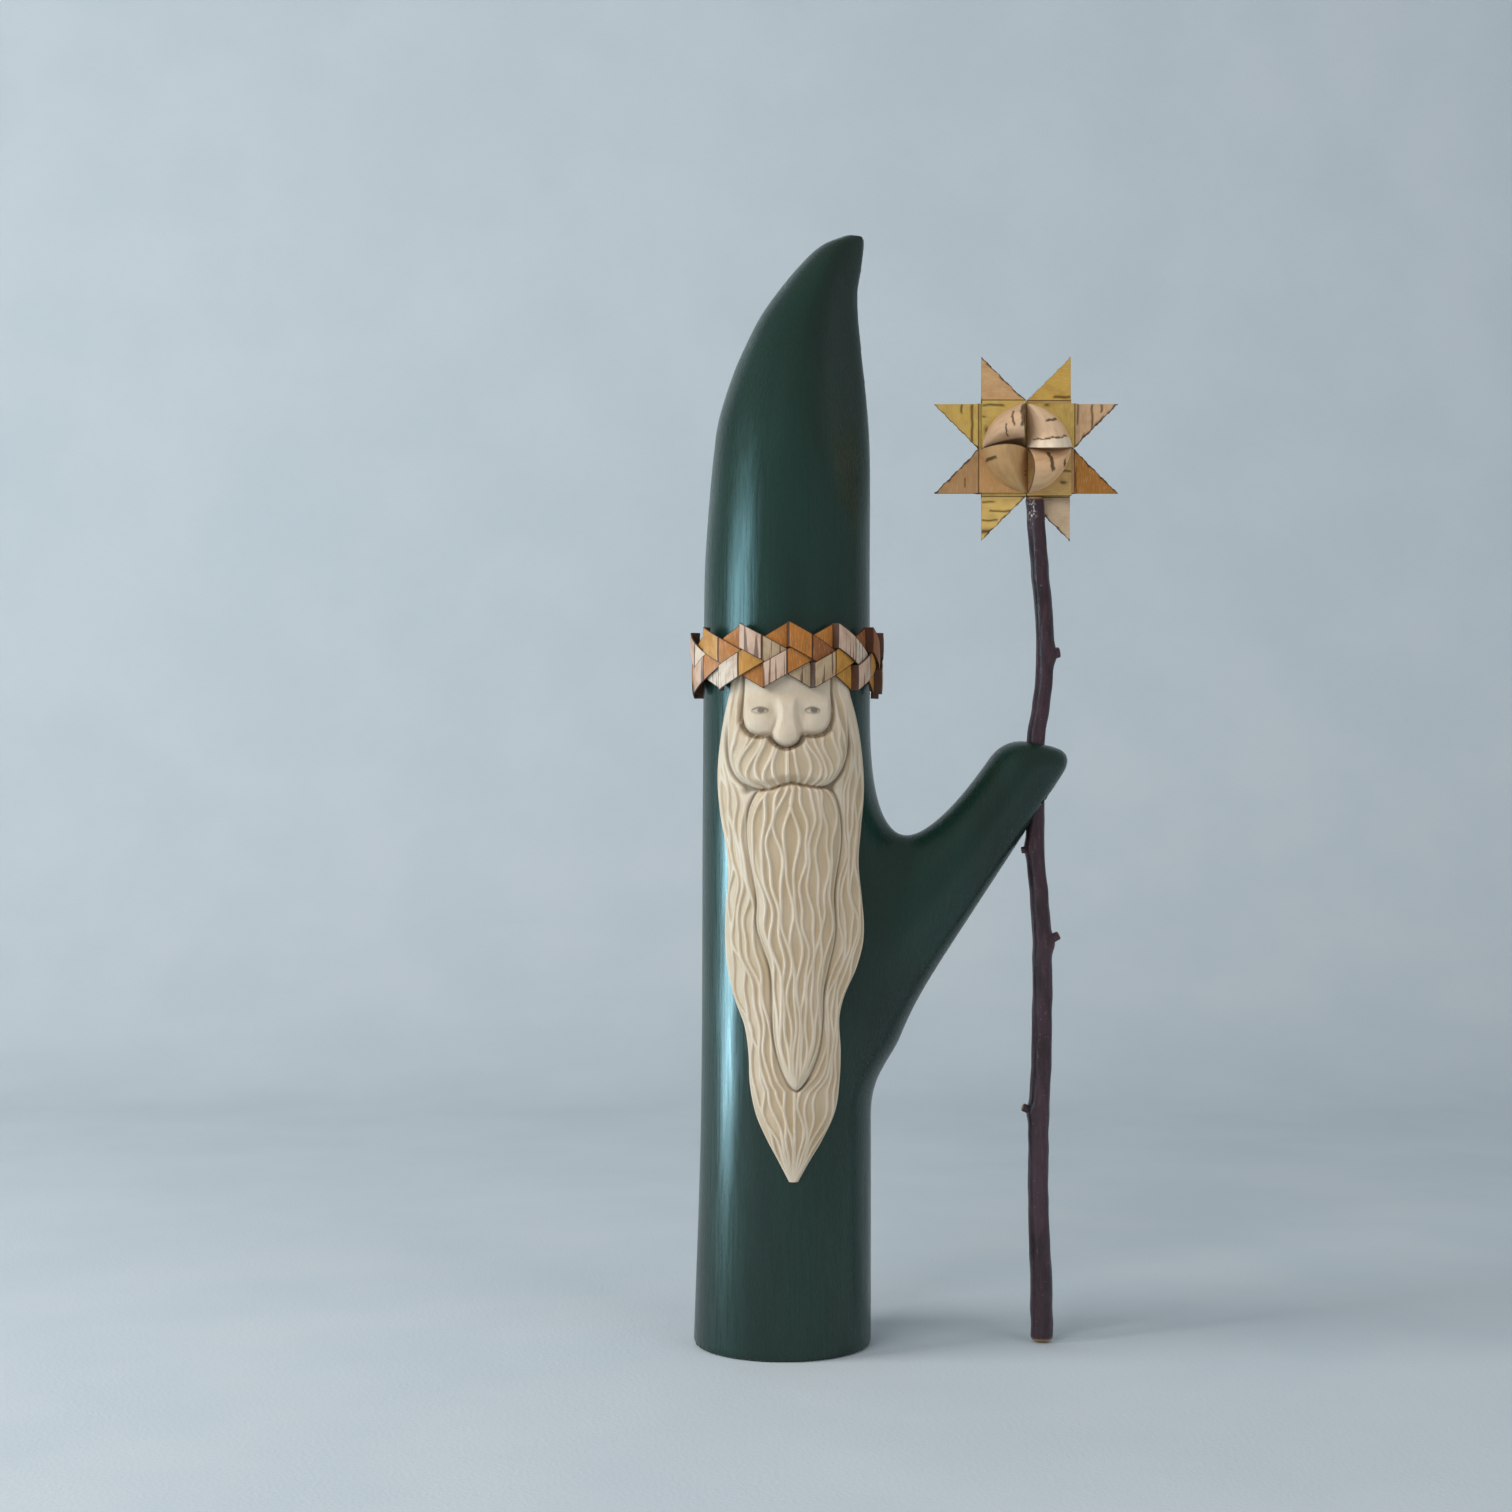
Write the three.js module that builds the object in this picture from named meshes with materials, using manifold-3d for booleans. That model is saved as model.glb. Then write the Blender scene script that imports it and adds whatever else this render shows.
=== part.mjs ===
// A winter gift-bringer carved from a forked branch, with a plaited bark crown
// and a twig staff that carries a woven bark star.
//
// Millimetres, +Z up. The origin is the middle of the branch's foot, on the surface
// that it stands on. The face looks towards -Y and the raised arm points towards +X.

import * as THREE from 'three';
import { mergeVertices } from 'three/addons/utils/BufferGeometryUtils.js';
import Module from 'manifold-3d';

const wasm = await Module();
wasm.setup();

// Clearances
const touchGap = 0.3; // between pieces that touch on the real object
const boreClearance = 0.4; // round the staff in the hand's hole
const crownClearance = 0.6; // between the crown and what it goes round
const reliefGap = 0.5; // behind the carved face, over the branch's own facets

// Branch: trunk and hat
const footWidth = 47.6;
const trunkLeft = -20.9; // left edge of the trunk under the hat
const trunkRight = 23.7; // right edge of the trunk under the hat
const trunkDepth = 44.4;
const footRound = 1.2; // rounding of the foot's lower edge
const taperHeight = 60; // the foot's flare ends here
const hatStart = 205; // the sides begin to draw in here
const hatLength = 93.4;
const hatFacet = 0.76; // the whittled flats stand this share of the half width from the core

// Branch: raised arm, from its root inside the trunk to its cut end
const armRootX = 21.8;
const armRootZ = 89.5;
const armAngle = 56.2; // degrees above level
const armRadius = 10.2;
const armTaper = 0.9; // lost in radius from the root to the hand
const handTopX = 68.5;
const handTopZ = 161.7; // top of the cut end over the staff's hole
const handTilt = 12; // degrees that the cut end slopes down outwards
const handRound = 3.5;
const crookBlend = 33; // softness of the crook above the arm
const armpitBlend = 18; // softness of the join under the arm

// Staff
const staffX = 68.5; // axis of the hand's hole, about which the staff turns
const staffRadius = 2.55; // in the hand
const staffFootRadius = 3.1;
const staffTopRadius = 2.55;
const footLift = 0.8; // the staff's foot stops this far above the surface
const tongueWidth = 3.6;
const tongueThickness = 0.8;
const tongueLength = 8;

// Face and beard, a carved layer on the branch's front
const reliefBottom = 47.2;
const reliefTop = 184; // its upper end, behind the crown
const reliefEdge = 1.3; // height of the carved edge
const reliefRise = 1.5; // the middle stands this much higher than the edge
const browThickness = 0.8; // what is left of the carving behind the crown
const browBottom = 171; // the carving begins to thin here
const beardTop = 151.5;
const beardTip = 71;
const beardRaise = 0.9; // the central beard over the hair beside it
const moustacheRaise = 1.1;
const moustacheTop = 165;
const moustacheReach = 7.5; // from the nose to the middle of each half
const noseX = 1;
const noseTip = 160.2;
const noseRaise = 1.9;
const noseWidth = 2.5;
const eyeZ = 170.1;
const eyeReach = 5.9; // from the nose to each eye
const cheekZ = 166.6;
const cheekRaise = 0.7;
const grooveDepth = 0.6; // of the lines round the face, moustache and beard

// Crown: three bark strips in a flat plait
const plaitStrips = 3;
const plaitTurns = 4; // zigzags that each strip makes round the hat
const barkThickness = 0.4;
const crownSwing = 5.45; // each strip's middle line swings this far up and down
const crownHeight = 17.5;
const crownRest = 175.8; // its lowest points at the front
const crownTilt = 4; // degrees, front up
const foldRun = 0.3; // half the length over which a strip folds back to the outside

// Star: four bark strips in a woven square, each with two points and two curls
const starX = 65.9;
const starStrip = 11.5; // width of a strip
const starBark = 0.5; // thickness of a strip
const pointLength = 11.9; // a point's reach beyond the square
const pointThickness = 1;
const foldSlope = 1.3; // run over which a folded end narrows to its point
const curlHeight = 8.6;
const curlLean = 1.2; // the arch leans back from its base by this much
const curlRound = 8; // how far the curl swells towards its corner of the square
const curlInset = 0.3; // from the strip's edges to the curl's base

const radians = Math.PI / 180;
const clamp = THREE.MathUtils.clamp;
const mix = THREE.MathUtils.lerp;

// A smooth curve through [position, value] knots, flat beyond both ends
function curveThrough(knots) {
  const slopes = knots.map((knot, i) => {
    const before = knots[Math.max(i - 1, 0)];
    const after = knots[Math.min(i + 1, knots.length - 1)];
    return (after[1] - before[1]) / (after[0] - before[0]);
  });
  return (position) => {
    const p = clamp(position, knots[0][0], knots[knots.length - 1][0]);
    let i = 0;
    while (i < knots.length - 2 && p > knots[i + 1][0]) i += 1;
    const span = knots[i + 1][0] - knots[i][0];
    const t = (p - knots[i][0]) / span;
    const start = (1 + 2 * t) * (1 - t) ** 2 * knots[i][1] + t * (1 - t) ** 2 * span * slopes[i];
    const end = t * t * (3 - 2 * t) * knots[i + 1][1] + t * t * (t - 1) * span * slopes[i + 1];
    return start + end;
  };
}

function smoothStep(low, high, value) {
  const t = clamp((value - low) / (high - low), 0, 1);
  return t * t * (3 - 2 * t);
}

function bump(distance, width) {
  return Math.exp(-((distance / width) ** 2));
}

// Smooth forms of min and max, rounded over the given width
function softMin(a, b, width) {
  const h = clamp(0.5 + (0.5 * (b - a)) / width, 0, 1);
  return mix(b, a, h) - width * h * (1 - h);
}

function softMax(a, b, width) {
  return -softMin(-a, -b, width);
}

// Solids in and out of the boolean library
function toSolid(geometry) {
  const bare = geometry.clone();
  bare.deleteAttribute('normal');
  bare.deleteAttribute('uv');
  const merged = mergeVertices(bare, 1e-4);
  const mesh = new wasm.Mesh({
    numProp: 3,
    vertProperties: new Float32Array(merged.attributes.position.array),
    triVerts: new Uint32Array(merged.index.array),
  });
  return new wasm.Manifold(mesh);
}

function toGeometry(solid) {
  const mesh = solid.getMesh();
  const geometry = new THREE.BufferGeometry();
  geometry.setAttribute('position', new THREE.BufferAttribute(mesh.vertProperties, 3));
  geometry.setIndex(new THREE.BufferAttribute(mesh.triVerts, 1));
  geometry.computeVertexNormals();
  return geometry;
}

function geometryFrom(positions, triangles) {
  const geometry = new THREE.BufferGeometry();
  geometry.setAttribute('position', new THREE.Float32BufferAttribute(positions.flat(), 3));
  geometry.setIndex(triangles.flat());
  return geometry;
}

function signedVolume(positions, triangles) {
  let volume = 0;
  for (const [a, b, c] of triangles) {
    const [ax, ay, az] = positions[a];
    const [bx, by, bz] = positions[b];
    const [cx, cy, cz] = positions[c];
    volume += ax * (by * cz - bz * cy) + ay * (bz * cx - bx * cz) + az * (bx * cy - by * cx);
  }
  return volume / 6;
}

// A solid through rings of equal count, closed into a loop or capped at both ends: with
// fans, or with a strip where each ring is a front row followed by its back row reversed
function loft(rings, ends = 'fans') {
  const loop = ends === 'loop';
  const count = rings[0].length;
  const positions = rings.flat();
  const triangles = [];
  const steps = loop ? rings.length : rings.length - 1;
  for (let i = 0; i < steps; i += 1) {
    const here = i * count;
    const next = ((i + 1) % rings.length) * count;
    for (let j = 0; j < count; j += 1) {
      const k = (j + 1) % count;
      triangles.push([here + j, here + k, next + k], [here + j, next + k, next + j]);
    }
  }
  for (const [first, flip] of loop ? [] : [[0, true], [(rings.length - 1) * count, false]]) {
    if (ends === 'strips') {
      for (let j = 0; j < count / 2 - 1; j += 1) {
        const [a, b] = [first + j, first + j + 1];
        const [c, d] = [first + count - 2 - j, first + count - 1 - j];
        triangles.push(...(flip ? [[a, c, b], [a, d, c]] : [[a, b, c], [a, c, d]]));
      }
    } else {
      const ring = positions.slice(first, first + count);
      const middle = [0, 1, 2].map((axis) => ring.reduce((sum, p) => sum + p[axis], 0) / count);
      const hub = positions.push(middle) - 1;
      for (let j = 0; j < count; j += 1) {
        const k = (j + 1) % count;
        triangles.push(flip ? [hub, first + k, first + j] : [hub, first + j, first + k]);
      }
    }
  }
  const outward = signedVolume(positions, triangles) > 0;
  const faces = outward ? triangles : triangles.map(([a, b, c]) => [a, c, b]);
  return toSolid(geometryFrom(positions, faces));
}

// A box between two corners
function block(low, high) {
  const size = high.map((value, axis) => value - low[axis]);
  const geometry = new THREE.BoxGeometry(...size);
  geometry.translate(...high.map((value, axis) => (value + low[axis]) / 2));
  return toSolid(geometry);
}

// The surface where a field is zero, as a closed mesh over a grid with uneven levels:
// one vertex in each cell that the surface crosses, one quad for each crossed grid edge
function fieldSurface(field, axes, flatBelow) {
  const [xs, ys, zs] = axes;
  const values = xs.map((x) => ys.map((y) => zs.map((z) => field(x, y, z))));
  const cellVertex = new Map();
  const positions = [];
  const corner = (i, j, k) => ({ at: [xs[i], ys[j], zs[k]], value: values[i][j][k] });
  const key = (i, j, k) => (i * ys.length + j) * zs.length + k;

  function settle(point) {
    let [x, y, z] = point;
    const e = 0.01;
    for (let step = 0; step < 3; step += 1) {
      const f = field(x, y, z);
      const gx = (field(x + e, y, z) - field(x - e, y, z)) / (2 * e);
      const gy = (field(x, y + e, z) - field(x, y - e, z)) / (2 * e);
      const gz = (field(x, y, z + e) - field(x, y, z - e)) / (2 * e);
      const scale = f / Math.max(gx * gx + gy * gy + gz * gz, 0.2);
      x -= scale * gx;
      y -= scale * gy;
      z -= scale * gz;
    }
    return [x, y, z];
  }

  for (let i = 0; i < xs.length - 1; i += 1) {
    for (let j = 0; j < ys.length - 1; j += 1) {
      for (let k = 0; k < zs.length - 1; k += 1) {
        const sum = [0, 0, 0];
        let crossings = 0;
        for (let a = 0; a < 8; a += 1) {
          for (const bit of [1, 2, 4]) {
            if (a & bit) continue;
            const b = a | bit;
            const p = corner(i + (a & 1), j + ((a >> 1) & 1), k + (a >> 2));
            const q = corner(i + (b & 1), j + ((b >> 1) & 1), k + (b >> 2));
            if (p.value < 0 === q.value < 0) continue;
            const t = p.value / (p.value - q.value);
            p.at.forEach((value, axis) => { sum[axis] += mix(value, q.at[axis], t); });
            crossings += 1;
          }
        }
        if (!crossings) continue;
        const mean = sum.map((value) => value / crossings);
        const onFlat = zs[k] < flatBelow;
        cellVertex.set(key(i, j, k), positions.push(onFlat ? mean : settle(mean)) - 1);
      }
    }
  }

  const triangles = [];
  function quad(cells, flip) {
    const q = cells.map(([i, j, k]) => cellVertex.get(key(i, j, k)));
    const [a, b, c, d] = flip ? q.reverse() : q;
    const length = (m, n) => new THREE.Vector3(...positions[m]).distanceTo(
      new THREE.Vector3(...positions[n]));
    if (length(a, c) < length(b, d)) triangles.push([a, b, c], [a, c, d]);
    else triangles.push([a, b, d], [b, c, d]);
  }
  for (let i = 1; i < xs.length - 1; i += 1) {
    for (let j = 1; j < ys.length - 1; j += 1) {
      for (let k = 0; k < zs.length - 1; k += 1) {
        const inside = values[i][j][k] < 0;
        if (inside !== values[i + 1][j][k] < 0) {
          quad([[i, j - 1, k - 1], [i, j, k - 1], [i, j, k], [i, j - 1, k]], !inside);
        }
        if (inside !== values[i][j + 1][k] < 0) {
          quad([[i - 1, j, k - 1], [i - 1, j, k], [i, j, k], [i, j, k - 1]], !inside);
        }
        if (inside !== values[i][j][k + 1] < 0) {
          quad([[i - 1, j - 1, k], [i, j - 1, k], [i, j, k], [i - 1, j, k]], !inside);
        }
      }
    }
  }
  return toSolid(geometryFrom(positions, triangles));
}

function range(low, high, step) {
  const count = Math.round((high - low) / step);
  return Array.from({ length: count + 1 }, (_, i) => low + ((high - low) * i) / count);
}

// The branch's outline seen from the front. The hat's knots are shares of its own
// length, and of the trunk's width measured from its left edge.
const figureHeight = hatStart + hatLength;
const trunkWidth = trunkRight - trunkLeft;
const trunkMiddle = (trunkLeft + trunkRight) / 2;
const hatLeftShares = [[0.13, 0.013], [0.26, 0.034], [0.37, 0.056], [0.47, 0.087], [0.6, 0.173],
  [0.69, 0.255], [0.77, 0.342], [0.85, 0.462], [0.93, 0.605], [0.975, 0.715], [1, 0.84]];
const hatRightShares = [[0.26, 1.002], [0.39, 1], [0.56, 0.989], [0.69, 0.968], [0.77, 0.953],
  [0.84, 0.95], [0.91, 0.972], [0.965, 0.986], [1, 0.988]];
const hatDepthShares = [[0.37, 0.97], [0.6, 0.84], [0.77, 0.66], [0.85, 0.55], [0.93, 0.4],
  [0.975, 0.27], [1, 0.13]];
const hatKnots = (shares, from, size) => shares.map(
  ([along, across]) => [hatStart + along * hatLength, from + across * size]);
const leftEdge = curveThrough([[0, -footWidth / 2], [taperHeight, trunkLeft - 1],
  [hatStart - taperHeight, trunkLeft - 0.5], [hatStart, trunkLeft],
  ...hatKnots(hatLeftShares, trunkLeft, trunkWidth)]);
const rightEdge = curveThrough([[0, footWidth / 2 + 0.2], [taperHeight, trunkRight + 0.3],
  [hatStart, trunkRight], ...hatKnots(hatRightShares, trunkLeft, trunkWidth)]);
const halfDepth = curveThrough([[0, footWidth / 2], [taperHeight, trunkDepth / 2 + 0.5],
  [hatStart, trunkDepth / 2], ...hatKnots(hatDepthShares, 0, trunkDepth / 2)]);

function trunkField(x, y, z) {
  const left = leftEdge(z);
  const right = rightEdge(z);
  const middle = (left + right) / 2;
  const halfWidth = (right - left) / 2;
  const depth = halfDepth(z);
  const round = (Math.hypot((x - middle) / halfWidth, y / depth) - 1) * Math.min(halfWidth, depth);
  const whittled = smoothStep(hatStart - 10, hatStart + hatLength * 0.7, z);
  const flat = mix(1.1, hatFacet, whittled) * halfWidth;
  const toFlat = (x - middle) * 0.77 + Math.abs(y) * 0.64 * (halfWidth / depth) - flat;
  return softMax(round, toFlat, mix(1, 3, whittled));
}

// The arm in the plane of the figure: a tapered round bar with a soft cut end
const armAlongX = Math.cos(armAngle * radians);
const armAlongZ = Math.sin(armAngle * radians);
const armLength = (handTopX - armRootX) * armAlongX + (handTopZ - armRootZ) * armAlongZ;

function armField(x, y, z) {
  const dx = x - armRootX;
  const dz = z - armRootZ;
  const along = dx * armAlongX + dz * armAlongZ;
  const across = dx * armAlongZ - dz * armAlongX;
  const radius = armRadius - armTaper * clamp(along / armLength, 0, 1);
  const bar = Math.hypot(across, y, Math.min(along, 0)) - radius;
  const tilt = handTilt * radians;
  const end = (x - handTopX) * Math.sin(tilt) + (z - handTopZ) * Math.cos(tilt);
  return softMax(bar, end, handRound * 2);
}

function branchField(x, y, z) {
  const blend = mix(armpitBlend, crookBlend, smoothStep(armRootZ, handTopZ - 2 * armRadius, z));
  const wood = softMin(trunkField(x, y, z), armField(x, y, z), blend);
  const top = z - figureHeight;
  return Math.max(wood, top, -z);
}

function makeBranch() {
  const across = 4.3; // grid steps
  const along = 5.6;
  const fine = 1.9;
  const margin = 2 * across;
  const crookTop = handTopZ + armRadius;
  const tipStart = hatStart + 0.72 * hatLength;
  const xs = range(-footWidth / 2 - margin, staffX + armRadius + margin, across);
  const ys = range(-footWidth / 2 - margin, footWidth / 2 + margin, across);
  const zs = [-footRound, footRound, ...range(footRound * 3, armRootZ - 2 * armRadius, 1.5 * along),
    ...range(armRootZ - 2 * armRadius + along, crookTop, along),
    ...range(crookTop + 1.3 * along, tipStart, 1.3 * along),
    ...range(tipStart + 2 * fine, figureHeight - 2 * fine, 2 * fine),
    ...range(figureHeight - fine, figureHeight + fine, fine)];
  const wood = fieldSurface(branchField, [xs, ys, zs], 0);
  const hole = new THREE.CylinderGeometry(staffRadius + boreClearance, staffRadius + boreClearance,
    2 * armRadius + handRound * 4, 20);
  hole.rotateX(Math.PI / 2);
  hole.translate(staffX, 0, handTopZ - armRadius);
  return wood.subtract(toSolid(hole));
}

// The crown's ring goes round the trunk and the thin top of the carving, so its middle
// lies forward of the trunk's by half of what the carving adds
const crownForward = (reliefGap + browThickness) / 2;
const crownDepth = plaitStrips * (barkThickness + touchGap) + barkThickness;
const crownInner = Math.max(trunkWidth, trunkDepth) / 2 + crownForward + crownClearance;
const crownRadius = crownInner + crownDepth / 2;
const crownZ = crownRest + crownHeight / 2 - crownRadius * Math.tan(crownTilt * radians);

// One strip: it runs from the outside to the inside between two folds, crossing over one
// neighbour and under the other, then folds back to the outside at the crown's edge
function makeCrownStrip(index) {
  const legs = 2 * plaitTurns;
  const legAngle = (2 * Math.PI) / legs;
  const legRun = legAngle * crownRadius;
  const layer = (crownDepth - barkThickness) / 2;
  const stripHeight = crownHeight - 2 * crownSwing;
  const path = [];
  const stepsPerLeg = 6;
  for (let leg = 0; leg < legs; leg += 1) {
    for (let step = 0; step <= stepsPerLeg; step += 1) {
      const share = step / stepsPerLeg;
      const along = mix(foldRun, legRun - foldRun, share);
      const swing = leg % 2 === 0 ? 1 - (2 * along) / legRun : (2 * along) / legRun - 1;
      path.push({ run: leg * legRun + along, out: mix(layer, -layer, share), up: crownSwing * swing });
    }
  }
  const total = legs * legRun;
  const rings = path.map((point, i) => {
    const before = path[(i + path.length - 1) % path.length];
    const after = path[(i + 1) % path.length];
    const inRun = point.run - before.run + (i === 0 ? total : 0);
    const outRun = after.run - point.run + (i === path.length - 1 ? total : 0);
    const directionIn = new THREE.Vector2(inRun, point.out - before.out).normalize();
    const directionOut = new THREE.Vector2(outRun, after.out - point.out).normalize();
    const sum = directionIn.clone().add(directionOut).normalize();
    const normal = new THREE.Vector2(-sum.y, sum.x);
    const miter = Math.max(normal.dot(new THREE.Vector2(-directionIn.y, directionIn.x)), 0.5);
    const half = barkThickness / 2 / miter;
    const at = (side, up) => {
      const run = point.run + side * half * normal.x + (index * 2 * legRun) / plaitStrips;
      const radius = crownRadius + point.out + side * half * normal.y;
      const angle = run / crownRadius;
      const forward = radius * Math.cos(angle);
      return [radius * Math.sin(angle), -forward, up + forward * Math.tan(crownTilt * radians)];
    };
    const top = point.up + stripHeight / 2;
    const bottom = point.up - stripHeight / 2;
    return [at(1, top), at(1, bottom), at(-1, bottom), at(-1, top)];
  });
  return loft(rings, 'loop');
}

// Face and beard: [height, side] outlines of the hair and of the central beard. The
// heights are shares of the way up from the lower end of each.
const hairHeight = reliefTop - reliefBottom;
const beardHeight = beardTop - beardTip;
const outline = (from, height, knots) => curveThrough(
  knots.map(([share, side]) => [from + share * height, side]));
const hairLeft = outline(reliefBottom, hairHeight, [[0, 1.6], [0.06, -2.8], [0.14, -7.3], [0.23, -8.6],
  [0.31, -10.1], [0.375, -13.2], [0.445, -14.6], [0.6, -13.8], [0.75, -16.5], [0.82, -16.3],
  [0.93, -13.6], [1, -12.4]]);
const hairRight = outline(reliefBottom, hairHeight, [[0, 3.8], [0.075, 9.7], [0.14, 13.8], [0.29, 14.4],
  [0.355, 16.4], [0.41, 19.4], [0.475, 20.9], [0.6, 19.5], [0.75, 20.9], [0.82, 20.4], [0.93, 17.2],
  [1, 15.6]]);
const beardLeft = outline(beardTip, beardHeight, [[0, 2.2], [0.05, -0.2], [0.2, -2.4], [0.4, -2.8],
  [0.5, -5.6], [0.62, -6.1], [0.75, -8], [0.87, -8.4], [0.95, -6.3], [1, -1]]);
const beardRight = outline(beardTip, beardHeight, [[0, 3.8], [0.06, 6.9], [0.2, 9.6], [0.33, 9.8],
  [0.5, 12.9], [0.62, 12.3], [0.78, 14.2], [0.9, 13.8], [0.96, 11.8], [1, 6]]);

// Height of the carving over its back, at a given side and height
function reliefHeight(x, z) {
  const left = hairLeft(z);
  const right = hairRight(z);
  const share = (x - (left + right) / 2) / Math.max((right - left) / 2, 1);
  const rounding = 1 - Math.abs(share) ** 3;
  const rise = reliefRise * rounding * smoothStep(reliefBottom, reliefBottom + 13, z);
  const side = Math.abs(x - noseX);

  const inBeard = Math.min(x - beardLeft(z), beardRight(z) - x, z - beardTip, beardTop - z);
  const beard = beardRaise * smoothStep(-0.4, 2, inBeard) - grooveDepth * bump(inBeard, 1.1);

  const lipBottom = beardTop - 0.9 * smoothStep(2, 7, side) + 0.03 * Math.max(side - 7, 0) ** 2.5;
  const inLip = Math.min(z - lipBottom, moustacheTop - z, 1.9 * moustacheReach - side);
  const lip = moustacheRaise * smoothStep(-0.4, 2.5, inLip) * smoothStep(moustacheTop, noseTip, z)
    - grooveDepth * bump(z - lipBottom + 0.4, 1) * smoothStep(moustacheReach * 2, moustacheReach, side);

  const bridge = bump(side, noseWidth * 0.85) * smoothStep(noseTip, noseTip + 1.5, z);
  const ball = bump(side, noseWidth * 1.2) * bump(z - noseTip - 3, 2.8);
  const nose = noseRaise * (bridge * mix(0.65, 0.3, smoothStep(cheekZ, browBottom + 3, z)) + 0.5 * ball);
  const eyes = bump(side - eyeReach, 3.4) * bump(z - eyeZ - 1.4, 2.4);
  const cheeks = cheekRaise * bump(side - eyeReach, 3.4) * bump(z - cheekZ, 3);
  const temples = bump(side - eyeReach * 1.8, 1.2) * smoothStep(cheekZ - 3, cheekZ, z);
  const under = bump(side - eyeReach, 4) * bump(z - cheekZ + 3.6, 1);

  const face = nose + cheeks - 0.8 * eyes - grooveDepth * (temples + under);
  const full = Math.max(reliefEdge + rise + beard + lip + face, browThickness);
  return mix(full, browThickness, smoothStep(browBottom, crownRest - touchGap, z));
}

// A point that stands off the branch's front surface, at a given side and height
function onBranch(x, z, off) {
  let outside = -2 * trunkDepth;
  let inside = 0;
  for (let step = 0; step < 30; step += 1) {
    const y = (outside + inside) / 2;
    if (branchField(x, y, z) < 0) inside = y;
    else outside = y;
  }
  const e = 0.05;
  const normal = new THREE.Vector3(branchField(x + e, inside, z) - branchField(x - e, inside, z),
    branchField(x, inside + e, z) - branchField(x, inside - e, z),
    branchField(x, inside, z + e) - branchField(x, inside, z - e)).normalize();
  return [x + normal.x * off, inside + normal.y * off, z + normal.z * off];
}

function makeRelief() {
  const columns = 22;
  const fine = 1.9; // steps over the face
  const coarse = 3.8; // steps elsewhere
  const faceBottom = beardTop - 4;
  const heights = [...range(reliefBottom, faceBottom - coarse, coarse),
    ...range(faceBottom, crownRest, fine), crownRest + coarse, reliefTop];
  const rings = heights.map((z) => {
    const xs = range(hairLeft(z), hairRight(z), (hairRight(z) - hairLeft(z)) / columns);
    const front = xs.map((x) => onBranch(x, z, reliefGap + reliefHeight(x, z)));
    const back = xs.map((x) => onBranch(x, z, reliefGap)).reverse();
    return [...front, ...back];
  });
  return loft(rings, 'strips');
}

// Staff: [height, distance of its middle line from the hole's axis, radius]
const starZ = 241.1;
const starHalf = starStrip + touchGap + starBark / 2; // outer edge of the strips
const starEnd = starHalf + touchGap + starBark; // outside of the folded ends
const staffTop = starZ - starEnd - touchGap;
const staffTopX = starX + 2.3;
const staffBends = [[footLift, 1.6, staffFootRadius], [16, 1.5, 3.05], [36, 0.8, 2.85],
  [59, 0.8, 2.85], [76, 1.6, 2.85], [109, 1.7, 2.7], [121, 0.9, 2.6], [132, 0, staffRadius],
  [150, 0, staffRadius], [164, 0.2, staffRadius], [172, 1.6, 2.5], [181, 2.4, 2.45], [190, 2.5, 2.5],
  [199, 2, 2.5], [209, 1.1, 2.5], [staffTop, staffTopX - staffX, staffTopRadius]];
const staffOffset = curveThrough(staffBends.map(([z, off]) => [z, off]));
const staffThickness = curveThrough(staffBends.map(([z, , radius]) => [z, radius]));

// Side knots: [height, side, reach from the staff's middle, radius, degrees upwards]
const knots = [[185.5, 1, 4.1, 1.7, 10], [133.4, -1, 3.9, 1.1, -10], [107.7, 1, 5.1, 1.4, 25],
  [61.8, -1, 4.8, 1.3, 20]];

function ringAt(centre, radius, sides, tilt = 0) {
  return Array.from({ length: sides }, (_, i) => {
    const angle = (2 * Math.PI * i) / sides;
    const side = radius * Math.cos(angle);
    return [centre[0] + side * Math.cos(tilt), centre[1] + radius * Math.sin(angle),
      centre[2] + side * Math.sin(tilt)];
  });
}

function makeStaff() {
  const rings = range(footLift, staffTop, 6).map((z) => ringAt(
    [staffX + staffOffset(z), 0, z], staffThickness(z), 12));
  let staff = loft(rings);
  for (const [z, side, reach, radius, rise] of knots) {
    const tilt = rise * radians;
    const stub = new THREE.CylinderGeometry(radius * 0.75, radius * 1.15, reach, 8);
    stub.translate(0, reach / 2, 0);
    stub.rotateZ(-side * (Math.PI / 2 - tilt));
    stub.translate(staffX + staffOffset(z), 0, z);
    staff = staff.add(toSolid(stub));
  }
  const tongueX = staffTopX + 0.1;
  const tongue = block([tongueX - tongueWidth / 2, -tongueThickness / 2, staffTop - 1],
    [tongueX + tongueWidth / 2, tongueThickness / 2, staffTop + tongueLength]);
  const backFlat = layerOver - starBark / 2 - touchGap;
  const flat = block([staffTopX - 2 * staffRadius, backFlat, staffTop - 5.4],
    [staffTopX + 2 * staffRadius, 3 * staffRadius, staffTop + 1]);
  return staff.subtract(flat).add(tongue);
}

// Star: distances from its middle plane to the strips' own middle planes
const layerUnder = tongueThickness / 2 + touchGap + starBark / 2;
const layerOver = layerUnder + starBark + touchGap;

// A side profile in [along, depth], swept across the strip's width
function sweepProfile(outer, hole, from, width) {
  const shape = new THREE.Shape(outer.map(([t, y]) => new THREE.Vector2(t, y)));
  if (hole) shape.holes.push(new THREE.Path(hole.map(([t, y]) => new THREE.Vector2(t, y))));
  const geometry = new THREE.ExtrudeGeometry(shape, { depth: width, bevelEnabled: false });
  const place = new THREE.Matrix4().makeBasis(
    new THREE.Vector3(0, 0, 1), new THREE.Vector3(0, 1, 0), new THREE.Vector3(-1, 0, 0));
  geometry.applyMatrix4(place);
  geometry.translate(from + width, 0, 0);
  return toSolid(geometry);
}

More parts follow.
